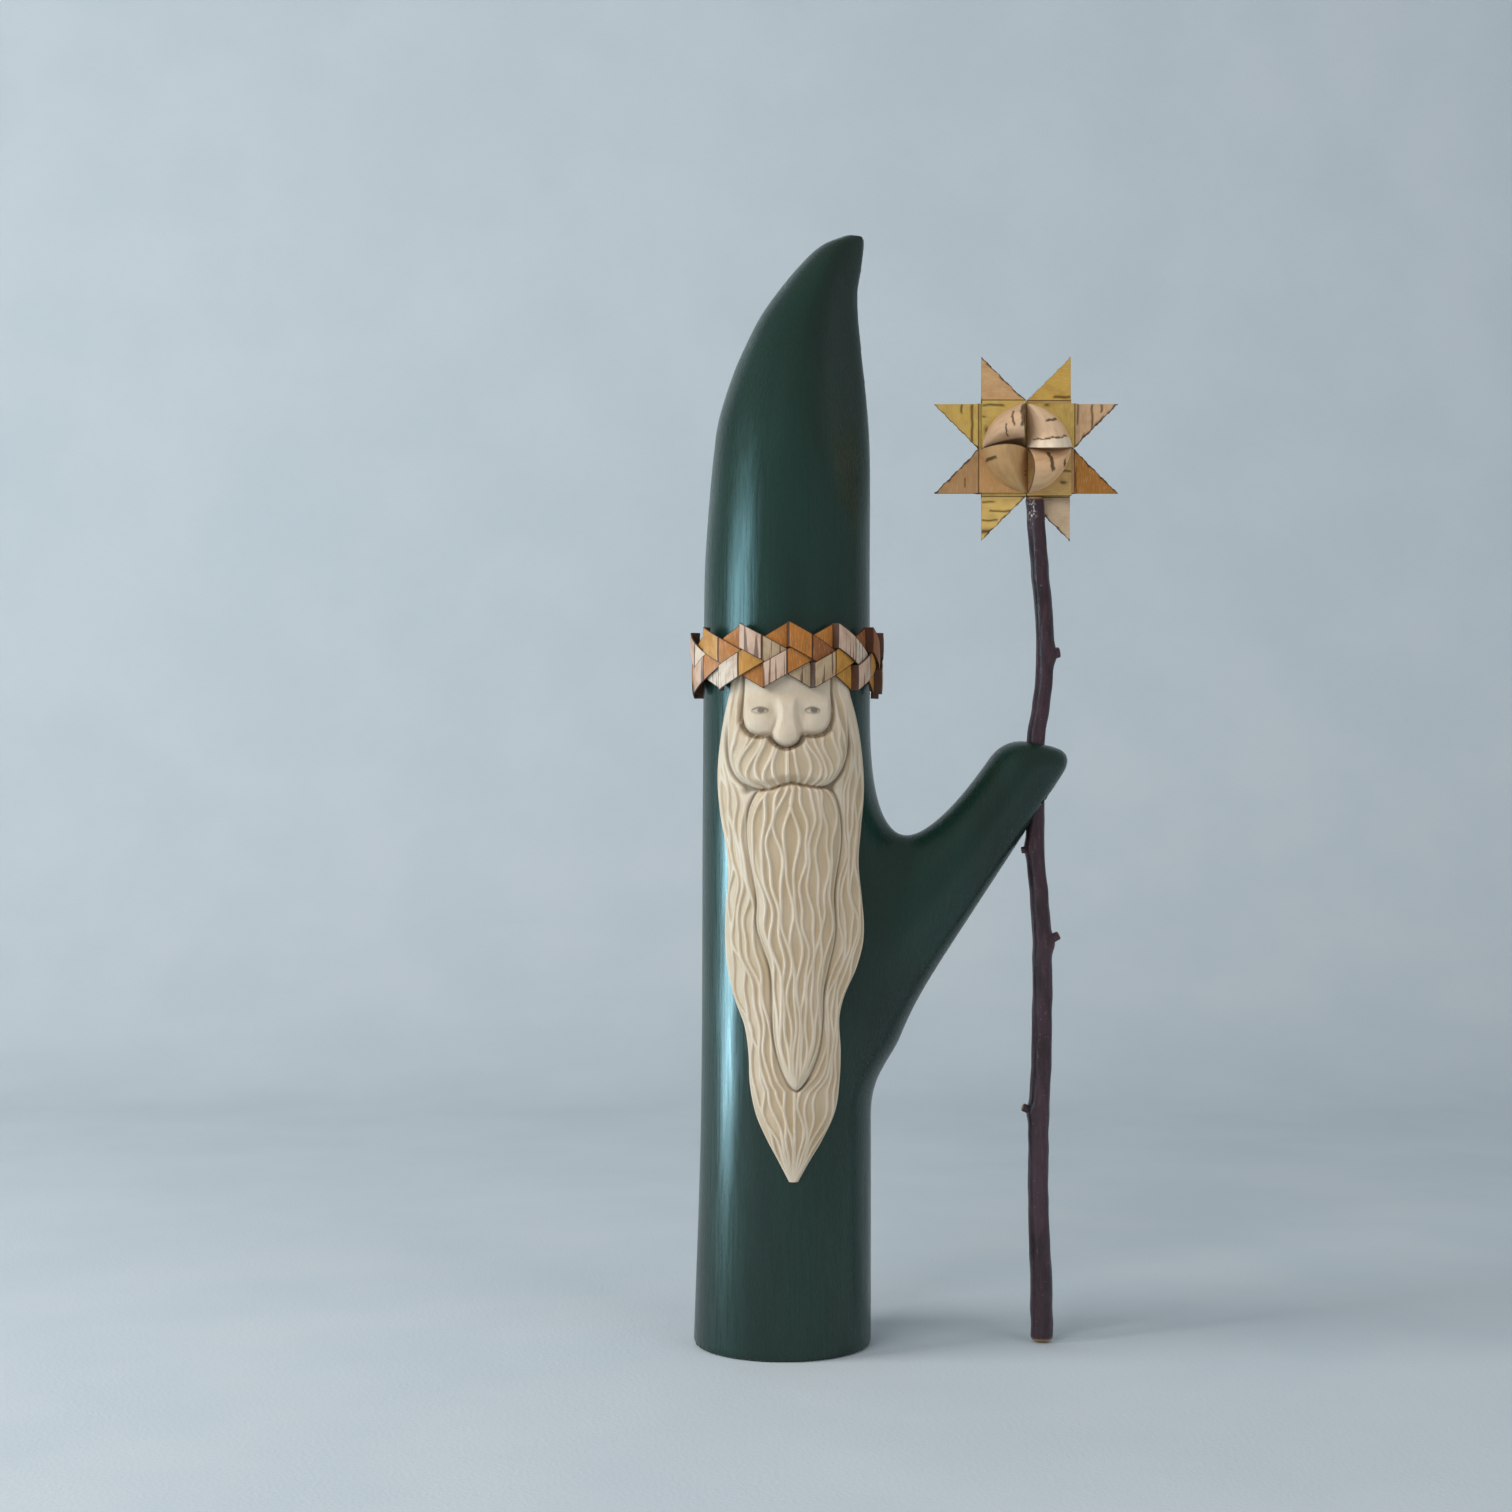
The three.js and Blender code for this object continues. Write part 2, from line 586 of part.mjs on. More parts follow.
// A front outline in [side, height], swept through the star's depth
function sweepOutline(points, depth) {
  const shape = new THREE.Shape(points.map(([x, z]) => new THREE.Vector2(x, z)));
  const geometry = new THREE.ExtrudeGeometry(shape, { depth: 2 * depth, bevelEnabled: false });
  geometry.rotateX(Math.PI / 2);
  geometry.translate(0, depth, 0);
  return toSolid(geometry);
}

// A curl: a scoop of bark that springs from the strip. It rises from the far corner of its
// quarter to an arch along the near edge; side is -1 on the front and 1 on the back.
function makeCurl(side) {
  const near = -(touchGap + starBark / 2) - curlInset;
  const low = -near;
  const apex = [-(starHalf - curlInset), low];
  const top = starHalf - curlInset;
  const face = layerOver + starBark / 2;
  const archPoints = 9;
  const section = (u, thin, sink) => range(0, 1, 1 / (archPoints - 1)).map((v) => {
    const arch = Math.sin(Math.PI * v) ** 0.8;
    const rimX = near - curlLean * arch + thin * 0.2;
    const rimZ = mix(low, top, v) + thin * (1 - 2 * v);
    const swell = curlRound * u * (1 - u) * v * Math.SQRT1_2;
    const depth = face - sink + Math.max(curlHeight * arch - thin, 0) * u ** 0.9;
    return [mix(apex[0], rimX, u) - swell, side * depth, mix(apex[1], rimZ, u) + swell];
  });
  const outer = loft([0.05, 0.2, 0.4, 0.6, 0.8, 1].map((u) => section(u, 0, 0.1)));
  const inner = loft([0.28, 0.45, 0.65, 0.85, 1.05].map((u) => section(u, starBark, 0.05)));
  return outer.subtract(inner);
}

// One strip, upright in the star's left half, lying outside its neighbour in the upper
// quarter and inside it in the lower one. With a mouth, its upper end stays open for the
// staff's tongue and its point hangs on the back layer alone.
function makeStarStrip(withMouth) {
  const half = starBark / 2;
  const over = layerOver + half;
  const overIn = layerOver - half;
  const under = layerUnder + half;
  const underIn = layerUnder - half;
  const point = pointThickness / 2;
  const tip = starEnd + pointLength;
  const inEnd = starEnd - starBark;
  const taper = starEnd + foldSlope;
  const lowerEnd = [[-half, under], [-starEnd, under], [-taper, point], [-tip, point],
    [-tip, -point], [-taper, -point], [-starEnd, -under], [-half, -under], [-half, -over]];
  const inside = [[half, -overIn], [half, -underIn], [-inEnd, -underIn], [-inEnd, underIn],
    [half, underIn], [half, overIn]];
  const pointBack = overIn + 0.8 * pointThickness; // of the point that hangs on the back layer
  const profile = withMouth
    ? sweepProfile([[-half, over], ...lowerEnd, [starEnd, -over], [starEnd, -overIn], ...inside,
      [tip, overIn], [tip, pointBack], [starEnd + half, pointBack], [starEnd, over]],
    null, -starHalf, starStrip)
    : sweepProfile([[-half, over], ...lowerEnd, [starEnd, -over], [taper, -point],
      [tip, -point], [tip, point], [taper, point], [starEnd, over]],
    [[inEnd, overIn], [inEnd, -overIn], ...inside], -starHalf, starStrip);
  const innerX = -starHalf + starStrip;
  const corners = sweepOutline([[-starHalf, -tip], [innerX, -starEnd], [innerX, starEnd],
    [-starHalf, tip]], over + point);
  return profile.intersect(corners).add(makeCurl(-1)).add(makeCurl(1));
}

// The scene graph
const finishes = {
  paint: { color: 0x1f3d35, roughness: 0.4, metalness: 0 },
  lime: { color: 0xd8c9a6, roughness: 0.75, metalness: 0 },
  crownBark: { color: 0xb9783a, roughness: 0.6, metalness: 0 },
  starBark: { color: 0xc9a85a, roughness: 0.6, metalness: 0 },
  twig: { color: 0x33252b, roughness: 0.45, metalness: 0 },
};

function piece(name, solid, finish) {
  const mesh = new THREE.Mesh(toGeometry(solid), new THREE.MeshStandardMaterial(finish));
  mesh.name = name;
  return mesh;
}

const figure = new THREE.Group();
figure.add(piece('body', makeBranch(), finishes.paint));
figure.add(piece('face_and_beard', makeRelief(), finishes.lime));

const crown = new THREE.Group();
crown.position.set(trunkMiddle, -crownForward, crownZ);
for (let i = 0; i < plaitStrips; i += 1) {
  crown.add(piece(`crown_strip_${i + 1}`, makeCrownStrip(i), finishes.crownBark));
}
figure.add(crown);

figure.add(piece('staff', makeStaff(), finishes.twig));

const star = new THREE.Group();
star.position.set(starX, 0, starZ);
for (let i = 0; i < 4; i += 1) {
  const strip = piece(`star_strip_${i + 1}`, makeStarStrip(i === 2), finishes.starBark);
  strip.rotation.y = (i * Math.PI) / 2;
  star.add(strip);
}
figure.add(star);

export default figure;
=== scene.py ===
import math

import bpy
import numpy as np
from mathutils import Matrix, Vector


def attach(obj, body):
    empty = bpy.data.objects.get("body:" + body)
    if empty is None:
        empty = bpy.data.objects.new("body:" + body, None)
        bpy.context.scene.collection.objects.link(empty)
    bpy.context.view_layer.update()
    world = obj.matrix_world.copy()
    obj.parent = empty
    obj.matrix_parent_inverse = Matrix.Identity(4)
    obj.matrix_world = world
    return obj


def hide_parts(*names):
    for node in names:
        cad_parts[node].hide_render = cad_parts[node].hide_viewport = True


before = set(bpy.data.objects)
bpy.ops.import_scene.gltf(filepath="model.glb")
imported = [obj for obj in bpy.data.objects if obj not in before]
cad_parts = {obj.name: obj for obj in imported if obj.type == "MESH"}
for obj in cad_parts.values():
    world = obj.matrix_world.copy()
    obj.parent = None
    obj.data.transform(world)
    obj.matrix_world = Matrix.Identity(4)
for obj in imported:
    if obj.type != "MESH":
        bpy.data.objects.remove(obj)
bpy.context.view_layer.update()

# A winter gift-bringer carved from a forked branch: the painted branch, the carved face
# and beard, the plaited bark crown, and the twig staff with its woven bark star.
# Shapes are made in millimetres and turned into metres when a piece is made.

MM = 0.001

# Branch
foot_width = 47.6
trunk_left = -20.9
trunk_right = 23.7
trunk_depth = 44.4
foot_round = 1.2
taper_height = 60
hat_start = 205
hat_length = 93.4
hat_facet = 0.76  # how far out the hat's whittled flats lie, as a share of its half width
trunk_facet = 1.1
facet_normal = (0.77, 0.64)
figure_height = hat_start + hat_length
trunk_width = trunk_right - trunk_left
trunk_middle = (trunk_left + trunk_right) / 2

# Raised arm
arm_root_x = 21.8
arm_root_z = 89.5
arm_angle = math.radians(56.2)
arm_radius = 10.2
arm_taper = 0.9
hand_top_x = 68.5
hand_top_z = 161.7
hand_tilt = math.radians(12)
hand_round = 3.5
crook_blend = 33
armpit_blend = 18

# Staff
staff_x = 68.5
staff_radius = 2.55
hole_radius = staff_radius + 0.35
hole_lip = 0.5
foot_lift = 0.8

# Face and beard
relief_bottom = 47.2
relief_top = 184
relief_edge = 1.3
relief_rise = 1.5
relief_lift = 0.2
relief_sink = 0.15
brow_height = 1.25  # of the carving behind the crown
thinnest_strand = 0.02
nose_x = 1.0
eye_places = [(-5.1, 170.1, 2.1), (6.9, 170.1, 1.85)]

# Crown
touch_gap = 0.3
plait_strips = 3
plait_turns = 4
bark_thickness = 0.4
crown_swing = 5.45
crown_height = 17.5
crown_rest = 175.8
crown_tilt = math.radians(4)
fold_run = 0.3
crown_clearance = 0.6
crown_forward = 0.65

# Star
star_x = 65.9
star_z = 241.1
star_strip = 11.95
star_bark = 0.46
point_length = 11.9
curl_height = 8.6
curl_leans = [1.2, -1.3, 0.9, -0.4]  # of each arch, back from the centre line
curl_round = 11
curl_inset = 0.25
star_half = 12.05
star_end = 12.85
layer_under = 0.95
layer_over = 1.75
staff_top = star_z - star_end - touch_gap


# Curves and forms

def curve_through(knots):
    """A smooth curve through (place, value) knots, flat beyond both ends."""
    places, values = np.array(knots, float).T
    last = len(places) - 1
    before = np.maximum(np.arange(last + 1) - 1, 0)
    after = np.minimum(np.arange(last + 1) + 1, last)
    slopes = (values[after] - values[before]) / (places[after] - places[before])

    def curve(place):
        p = np.clip(place, places[0], places[-1])
        i = np.clip(np.searchsorted(places, p, side="right") - 1, 0, last - 1)
        span = places[i + 1] - places[i]
        t = (p - places[i]) / span
        start = (1 + 2 * t) * (1 - t) ** 2 * values[i] + t * (1 - t) ** 2 * span * slopes[i]
        end = t * t * (3 - 2 * t) * values[i + 1] + t * t * (t - 1) * span * slopes[i + 1]
        return start + end

    return curve


def smooth_step(low, high, value):
    t = np.clip((value - low) / (high - low), 0, 1)
    return t * t * (3 - 2 * t)


def bump(distance, width):
    return np.exp(-((distance / width) ** 2))


def blend(a, b, share):
    return a + (b - a) * share


def soft_min(a, b, width):
    h = np.clip(0.5 + 0.5 * (b - a) / width, 0, 1)
    return blend(b, a, h) - width * h * (1 - h)


def soft_max(a, b, width):
    return -soft_min(-a, -b, width)


def wander(values, seed, lengths, sizes):
    """A gentle seeded wave along one coordinate."""
    random = np.random.default_rng(seed)
    total = 0
    for length, size in zip(lengths, sizes):
        total = total + size * np.sin(2 * np.pi * values / length + random.uniform(0, 2 * np.pi))
    return total


# The branch

hat_left = [
    (0.13, 0.013), (0.26, 0.034), (0.37, 0.056), (0.47, 0.087), (0.6, 0.173), (0.69, 0.255),
    (0.77, 0.342), (0.85, 0.462), (0.93, 0.605), (0.975, 0.715), (1, 0.84)
]
hat_right = [
    (0.26, 1.002), (0.39, 1), (0.56, 0.989), (0.69, 0.968), (0.77, 0.953), (0.84, 0.95),
    (0.91, 0.972), (0.965, 0.986), (1, 0.988)
]
hat_depth = [
    (0.37, 0.97), (0.6, 0.84), (0.77, 0.66), (0.85, 0.55), (0.93, 0.4), (0.975, 0.27), (1, 0.13)
]


def hat_knots(shares, start, size):
    return [(hat_start + along * hat_length, start + across * size) for along, across in shares]


left_edge = curve_through([(0, -foot_width / 2), (taper_height, trunk_left - 1),
                           (hat_start - taper_height, trunk_left - 0.5), (hat_start, trunk_left)]
                          + hat_knots(hat_left, trunk_left, trunk_width))
right_edge = curve_through([(0, foot_width / 2 + 0.2), (taper_height, trunk_right + 0.3),
                            (hat_start, trunk_right)]
                           + hat_knots(hat_right, trunk_left, trunk_width))
half_depth = curve_through([(0, foot_width / 2), (taper_height, trunk_depth / 2 + 0.5),
                            (hat_start, trunk_depth / 2)]
                           + hat_knots(hat_depth, 0, trunk_depth / 2))


def trunk_field(x, y, z):
    left = left_edge(z)
    right = right_edge(z)
    middle = (left + right) / 2
    half_width = (right - left) / 2
    depth = half_depth(z)
    from_axis = np.hypot((x - middle) / half_width, y / depth)
    round_form = (from_axis - 1) * np.minimum(half_width, depth)
    whittled = smooth_step(hat_start - 10, hat_start + hat_length * 0.7, z)
    flat = blend(trunk_facet, hat_facet, whittled) * half_width
    across = (x - middle) * facet_normal[0]
    to_flat = across + np.abs(y) * facet_normal[1] * (half_width / depth) - flat
    return soft_max(round_form, to_flat, blend(1, 3, whittled))


def arm_field(x, y, z):
    dx = x - arm_root_x
    dz = z - arm_root_z
    along = dx * math.cos(arm_angle) + dz * math.sin(arm_angle)
    across = dx * math.sin(arm_angle) - dz * math.cos(arm_angle)
    length = ((hand_top_x - arm_root_x) * math.cos(arm_angle)
              + (hand_top_z - arm_root_z) * math.sin(arm_angle))
    radius = arm_radius - arm_taper * np.clip(along / length, 0, 1)
    bar = np.sqrt(across ** 2 + y ** 2 + np.minimum(along, 0) ** 2) - radius
    end = (x - hand_top_x) * math.sin(hand_tilt) + (z - hand_top_z) * math.cos(hand_tilt)
    return soft_max(bar, end, 2 * hand_round)


def branch_field(x, y, z):
    hand_base = hand_top_z - 2 * arm_radius
    softness = blend(armpit_blend, crook_blend, smooth_step(arm_root_z, hand_base, z))
    wood = soft_min(trunk_field(x, y, z), arm_field(x, y, z), softness)
    return np.maximum(np.maximum(wood, z - figure_height), -z)


def drilled_field(x, y, z):
    hole = hole_radius - np.hypot(x - staff_x, y)
    return soft_max(branch_field(x, y, z), hole, hole_lip)


def slope_of(field, x, y, z, step):
    """A field's slope, measured over a small step each way."""
    return np.stack([field(x + step, y, z) - field(x - step, y, z),
                     field(x, y + step, z) - field(x, y - step, z),
                     field(x, y, z + step) - field(x, y, z - step)], axis=-1) / (2 * step)


def settle(field, points):
    """Points near a field's zero, moved on to it."""
    reach = 0.4
    for _ in range(3):
        x, y, z = points.T
        slope = slope_of(field, x, y, z, 0.01)
        size = np.maximum((slope ** 2).sum(axis=1), 0.2)
        move = np.clip(field(x, y, z) / size, -reach, reach)
        points = points - move[:, None] * slope
    return points


def field_surface(field, axes, flat_below):
    """Closed surface of quads where a field is zero: one vertex in each crossed grid cell."""
    xs, ys, zs = axes
    values = field(xs[:, None, None], ys[None, :, None], zs[None, None, :])
    quads = []
    crossings = []
    for axis in range(3):
        low = np.moveaxis(values, axis, 0)[:-1]
        high = np.moveaxis(values, axis, 0)[1:]
        found = np.argwhere((low < 0) != (high < 0))
        a = low[tuple(found.T)]
        b = high[tuple(found.T)]
        order = [1, 0, 2] if axis == 1 else [1, 2, 0] if axis == 2 else [0, 1, 2]
        cell = found[:, order]
        at = np.stack([axes[n][cell[:, n]] for n in range(3)], axis=1)
        step = axes[axis][cell[:, axis] + 1] - axes[axis][cell[:, axis]]
        at[:, axis] += step * a / (a - b)
        first, second = (axis + 1) % 3, (axis + 2) % 3
        corners = []
        for one, other in ((-1, -1), (0, -1), (0, 0), (-1, 0)):
            near = cell.copy()
            near[:, first] += one
            near[:, second] += other
            corners.append(np.ravel_multi_index(tuple(near.T), values.shape))
        ring = np.stack(corners, axis=1)
        leaving = a >= 0
        ring[leaving] = ring[leaving][:, ::-1]
        quads.append(ring)
        crossings.append(at)
    quads = np.concatenate(quads)
    crossings = np.concatenate(crossings)
    _, quads_flat = np.unique(quads.ravel(), return_inverse=True)
    count = np.bincount(quads_flat)
    points = np.stack([np.bincount(quads_flat, np.repeat(crossings[:, n], 4)) / count
                       for n in range(3)], axis=1)
    free = points[:, 2] > flat_below
    points[free] = settle(field, points[free])
    return points, quads_flat.reshape(-1, 4).tolist()


# Pieces from grids of points

def ring_quads(rows, count, loop=False):
    """Quads between closed rings of points and, in a loop, from the last ring to the first."""
    i = np.arange(rows if loop else rows - 1)[:, None]
    j = np.arange(count)[None, :]
    k = (j + 1) % count
    here = i * count
    ahead = (i + 1) % rows * count
    return np.stack([here + j, here + k, ahead + k, ahead + j], axis=-1).reshape(-1, 4)


def tube_faces(rows, count):
    """Quads between closed rings of points, and a flat face at each end."""
    last = (rows - 1) * count
    ends = [list(range(count))[::-1], list(range(last, last + count))]
    return ring_quads(rows, count).tolist() + ends


def thin_solid(middle, thickness, loop=False):
    """A closed sheet of the given thickness about a grid of middle points."""
    if loop:
        along = np.roll(middle, -1, axis=0) - np.roll(middle, 1, axis=0)
    else:
        along = np.gradient(middle, axis=0)
    normal = np.cross(along, np.gradient(middle, axis=1))
    normal /= np.maximum(np.linalg.norm(normal, axis=2, keepdims=True), 1e-9)
    front = middle + normal * thickness / 2
    back = middle - normal * thickness / 2
    rings = np.concatenate([front, back[:, ::-1]], axis=1)
    rows, count = rings.shape[:2]
    quads = ring_quads(rows, count, loop)
    if not loop:
        j = np.arange(count // 2 - 1)
        end = np.stack([j, count - 1 - j, count - 2 - j, j + 1], axis=-1)
        quads = np.concatenate([quads, end, (rows - 1) * count + end[:, ::-1]])
    return rings.reshape(-1, 3), quads.tolist()


def both_sides(grid):
    """Values of a sheet's middle grid, repeated for its front and its reversed back."""
    return np.concatenate([grid, grid[:, ::-1]], axis=1).reshape(-1, *grid.shape[2:])


def joined(parts):
    """One set of points, faces and marks from several."""
    points = np.concatenate([part[0] for part in parts])
    starts = np.cumsum([0] + [len(part[0]) for part in parts[:-1]]).tolist()
    faces = [[corner + start for corner in face] for part, start in zip(parts, starts) for face in part[1]]
    marks = {name: np.concatenate([part[2][name] for part in parts]) for name in parts[0][2]}
    return points, faces, marks


def add_object(name, data):
    thing = bpy.data.objects.new(name, data)
    bpy.context.scene.collection.objects.link(thing)
    return thing


def make_piece(name, points, faces, material, body, replaced, marks=None, crease=40):
    mesh = bpy.data.meshes.new(name)
    mesh.from_pydata((points * MM).tolist(), [], faces)
    for key, values in (marks or {}).items():
        if values.ndim == 2:
            colours = np.concatenate([values, np.ones((len(values), 1))], axis=1)
            layer = mesh.attributes.new(key, "FLOAT_COLOR", "POINT")
            layer.data.foreach_set("color", colours.astype(np.float32).ravel())
        else:
            layer = mesh.attributes.new(key, "FLOAT", "POINT")
            layer.data.foreach_set("value", values.astype(np.float32))
    mesh.polygons.foreach_set("use_smooth", [True] * len(mesh.polygons))
    mesh.set_sharp_from_angle(angle=math.radians(crease))
    mesh.materials.append(material)
    piece = add_object(name, mesh)
    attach(piece, body)
    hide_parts(*replaced)


# Materials

def colour(code):
    """A linear colour from a written one."""
    parts = [int(code[i:i + 2], 16) / 255 for i in (1, 3, 5)]
    return [p / 12.92 if p <= 0.04045 else ((p + 0.055) / 1.055) ** 2.4 for p in parts]


class Look:
    """A procedural material round one Principled shader."""

    def __init__(self, name):
        self.material = bpy.data.materials.new(name)
        self.material.use_nodes = True
        self.tree = self.material.node_tree
        self.shader = self.tree.nodes["Principled BSDF"]
        self.place = self.tree.nodes.new("ShaderNodeTexCoord").outputs["Object"]

    def node(self, kind, **inputs):
        node = self.tree.nodes.new(kind)
        for key, value in inputs.items():
            self.feed(node.inputs[key], value)
        return node

    def feed(self, socket, value):
        if isinstance(value, bpy.types.NodeSocket):
            self.tree.links.new(value, socket)
        else:
            socket.default_value = value

    def mark(self, name, output="Fac"):
        node = self.tree.nodes.new("ShaderNodeAttribute")
        node.attribute_name = name
        return node.outputs[output]

    def strip_place(self):
        """Where a point lies along and across a bark strip, in millimetres."""
        node = self.node("ShaderNodeCombineXYZ", X=self.mark("along"), Y=self.mark("across"))
        return node.outputs["Vector"]

    def noise(self, size, detail, stretch=(1, 1, 1), place=None, rough=0.5):
        """Noise with features of about the given size, longer where stretch is more than 1."""
        scale = [1 / (size * s) for s in stretch]
        mapping = self.node("ShaderNodeMapping", Vector=place or self.place, Scale=scale)
        node = self.node("ShaderNodeTexNoise", Vector=mapping.outputs["Vector"], Scale=1.0,
                         Detail=detail, Roughness=rough)
        return node.outputs["Fac"]

    def math(self, operation, a, b):
        node = self.tree.nodes.new("ShaderNodeMath")
        node.operation = operation
        self.feed(node.inputs[0], a)
        self.feed(node.inputs[1], b)
        return node.outputs["Value"]

    def plus(self, a, b, share):
        """One value with a share of another added."""
        return self.math("ADD", a, self.math("MULTIPLY", b, share))

    def between(self, value, low, high, start=0.0, end=1.0):
        node = self.tree.nodes.new("ShaderNodeMapRange")
        node.interpolation_type = "SMOOTHSTEP"
        for key, number in (("From Min", low), ("From Max", high), ("To Min", start), ("To Max", end)):
            node.inputs[key].default_value = number
        self.feed(node.inputs["Value"], value)
        return node.outputs["Result"]

    def mix(self, share, a, b):
        node = self.tree.nodes.new("ShaderNodeMix")
        node.data_type = "RGBA"
        self.feed(node.inputs["Factor"], share)
        sockets = [s for s in node.inputs if s.type == "RGBA"]
        for socket, value in zip(sockets, (a, b)):
            self.feed(socket, value if isinstance(value, bpy.types.NodeSocket) else (*value, 1.0))
        return [s for s in node.outputs if s.type == "RGBA"][0]

    def over(self, tone, code, value, low, high, most=1.0):
        """A tone with another one over it, from none where the value is low to most where high."""
        return self.mix(self.between(value, low, high, 0.0, most), tone, colour(code))

    def finish(self, base, roughness, height, depth):
        """Set the colour and roughness, and a relief of the given depth in millimetres."""
        self.feed(self.shader.inputs["Base Color"], base)
        self.feed(self.shader.inputs["Roughness"], roughness)
        node = self.node("ShaderNodeBump", Height=height, Strength=1.0, Distance=depth * MM)
        self.feed(self.shader.inputs["Normal"], node.outputs["Normal"])
        return self.material


def paint_look():
    """Dark green satin paint brushed along the branch."""
    look = Look("green_paint")
    patches = look.noise(22 * MM, 2.0, (1, 1, 3))
    brushed = look.noise(0.7 * MM, 3.0, (1, 1, 26))
    grain = look.noise(0.25 * MM, 2.0, (1, 1, 5))
    hollows = look.noise(9 * MM, 1.0, (1, 1, 4))
    tone = look.over(colour("#132a22"), "#17362d", patches, 0.3, 0.7)
    tone = look.over(tone, "#132420", brushed, 0.35, 0.75, 0.35)
    roughness = look.between(brushed, 0.3, 0.7, 0.23, 0.34)
    height = look.plus(look.plus(look.math("MULTIPLY", brushed, 0.3), grain, 0.15), hollows, 3.0)
    return look.finish(tone, roughness, height, 0.09)


def carved_look():
    """Pale carved wood, stained in the gouged channels, with painted shade in its deep lines and beside
    the nose, and pencilled eyes.
    """
    look = Look("carved_wood")
    grain = look.noise(0.35 * MM, 3.0, (1, 1, 18))
    patches = look.noise(9 * MM, 2.0)
    stain = look.between(look.noise(5 * MM, 2.0, (1, 1, 3)), 0.3, 0.7, 0.55, 1.0)
    gouges = look.between(look.mark("channel"), 0.2, 0.9, 0.0, 0.8)
    tone = look.over(colour("#d9cab6"), "#cfbfa7", patches, 0.3, 0.7)
    tone = look.over(tone, "#c2b095", grain, 0.4, 0.8, 0.3)
    tone = look.mix(look.math("MULTIPLY", gouges, stain), tone, colour("#bca47f"))
    # Painted shade: dark brown in the deep lines between the carved forms and in the hollows beside the
    # nose.
    tone = look.over(tone, "#76624a", look.mark("groove_shade"), 0.1, 1.0, 0.88)
    tone = look.mix(look.mark("pencil"), tone, colour("#4e4740"))
    return look.finish(tone, 0.62, look.plus(grain, look.noise(0.5 * MM, 2.0), 0.5), 0.05)


def bark_look(name, worn, streaks):
    """Birch bark: a tone for each part of a strip, cloudy, with fine lines and dark marks
    across it. With streaks, the marked parts carry dark lines instead."""
    look = Look(name)
    strip = look.strip_place()
    grain = look.noise(0.3, 3.0, (1, 8, 1), strip)
    cloud = look.noise(3.0, 3.0, (1, 1.3, 1), strip)
    mark = look.mark("mark")
    tone = look.over(look.mark("tone", "Color"), "#8a5c31", cloud, 0.4, 0.75, worn)
    tone = look.over(tone, "#e6cfae", grain, 0.45, 0.8, 0.25)
    if streaks:
        lines = look.between(look.noise(0.75, 1.0, (1, 30, 1), strip, 0.3), 0.58, 0.64)
        mark = look.math("MULTIPLY", mark, lines)
    tone = look.mix(mark, tone, colour("#4f2c1e" if streaks else "#38210f"))
    tone = look.over(tone, "#3f241b", look.mark("rim"), 0.3, 0.8, 0.92)
    roughness = look.between(cloud, 0.3, 0.7, 0.5, 0.66)
    look.shader.inputs["Specular IOR Level"].default_value = 0.3
    return look.finish(tone, roughness, look.plus(grain, mark, -0.6), 0.05)


def twig_look():
    """Dark purple-brown twig bark with a slight shine, tan cut ends and specks of glue."""
    look = Look("twig_bark")
    streaks = look.noise(0.5 * MM, 3.0, (1, 1, 12))
    patches = look.noise(5 * MM, 3.0, (1, 1, 2.5))
    specks = look.noise(0.45 * MM, 1.0, (1.6, 1.6, 1))
    drops = look.between(look.noise(0.55 * MM, 1.0, (1, 1, 1.6)), 0.57, 0.62)
    tone = look.over(colour("#2b1d22"), "#45303a", patches, 0.3, 0.7)
    tone = look.over(tone, "#5b4046", streaks, 0.45, 0.8, 0.5)
    tone = look.over(tone, "#8c6f63", specks, 0.7, 0.76, 0.55)
    tone = look.mix(look.mark("cut"), tone, colour("#a9824f"))
    tone = look.mix(look.math("MULTIPLY", drops, look.mark("glue")), tone, colour("#d9d2cc"))
    roughness = look.between(patches, 0.3, 0.7, 0.3, 0.45)
    return look.finish(tone, roughness, look.plus(streaks, specks, 0.8), 0.12)


paint = paint_look()
carved_wood = carved_look()
crown_bark = bark_look("crown_bark", 0.45, True)
star_bark_look = bark_look("star_bark", 0.3, False)
twig_bark = twig_look()


# Painted branch

def make_branch():
    step = 1.0
    margin = 3.0
    xs = np.arange(-foot_width / 2 - margin, staff_x + arm_radius + margin + step, step)
    ys = np.arange(-foot_width / 2 - margin, foot_width / 2 + margin + step, step)
    zs = np.arange(-foot_round, figure_height + margin, step)
    points, quads = field_surface(drilled_field, (xs, ys, zs), foot_round)
    make_piece("painted_branch", points, quads, paint, "figure", ("body",))


# Face and beard, as seen from the front: edges in (height, side), outlines in (side, height)

hair_left = curve_through([
    (relief_bottom, 1.6), (52.6, -1.1), (58.6, -4.2), (64.6, -6.7), (72.1, -8.2), (80.6, -8.6),
    (87.6, -9.6), (94.6, -12.1), (102, -13.8), (110.6, -14.5), (120, -14.2), (127, -13.7),
    (134.7, -14.3), (142, -15.6), (150, -16.4), (158, -16.2), (167, -15), (175, -13.4),
    (relief_top, -12.4)
])
hair_right = curve_through([
    (relief_bottom, 3.8), (52.6, 6.8), (57.6, 9.8), (65, 13.2), (73, 14.4), (81, 14.8),
    (89.6, 14.5), (95.6, 15.9), (102, 18.8), (108.6, 20.7), (114, 21), (120, 20.5), (130, 19.5),
    (139, 20.1), (147, 20.8), (153, 20.8), (162, 19.9), (169, 18.6), (175, 17), (relief_top, 15.6)
])
beard_left = [
    (70.8, 2.9), (73.6, 0.8), (79.5, -1.2), (87, -2.4), (95.5, -2.3), (103, -2.7), (109, -4.8),
    (114, -6.3), (120, -5.9), (125, -6.6), (130, -7.6), (136, -8.4)
]
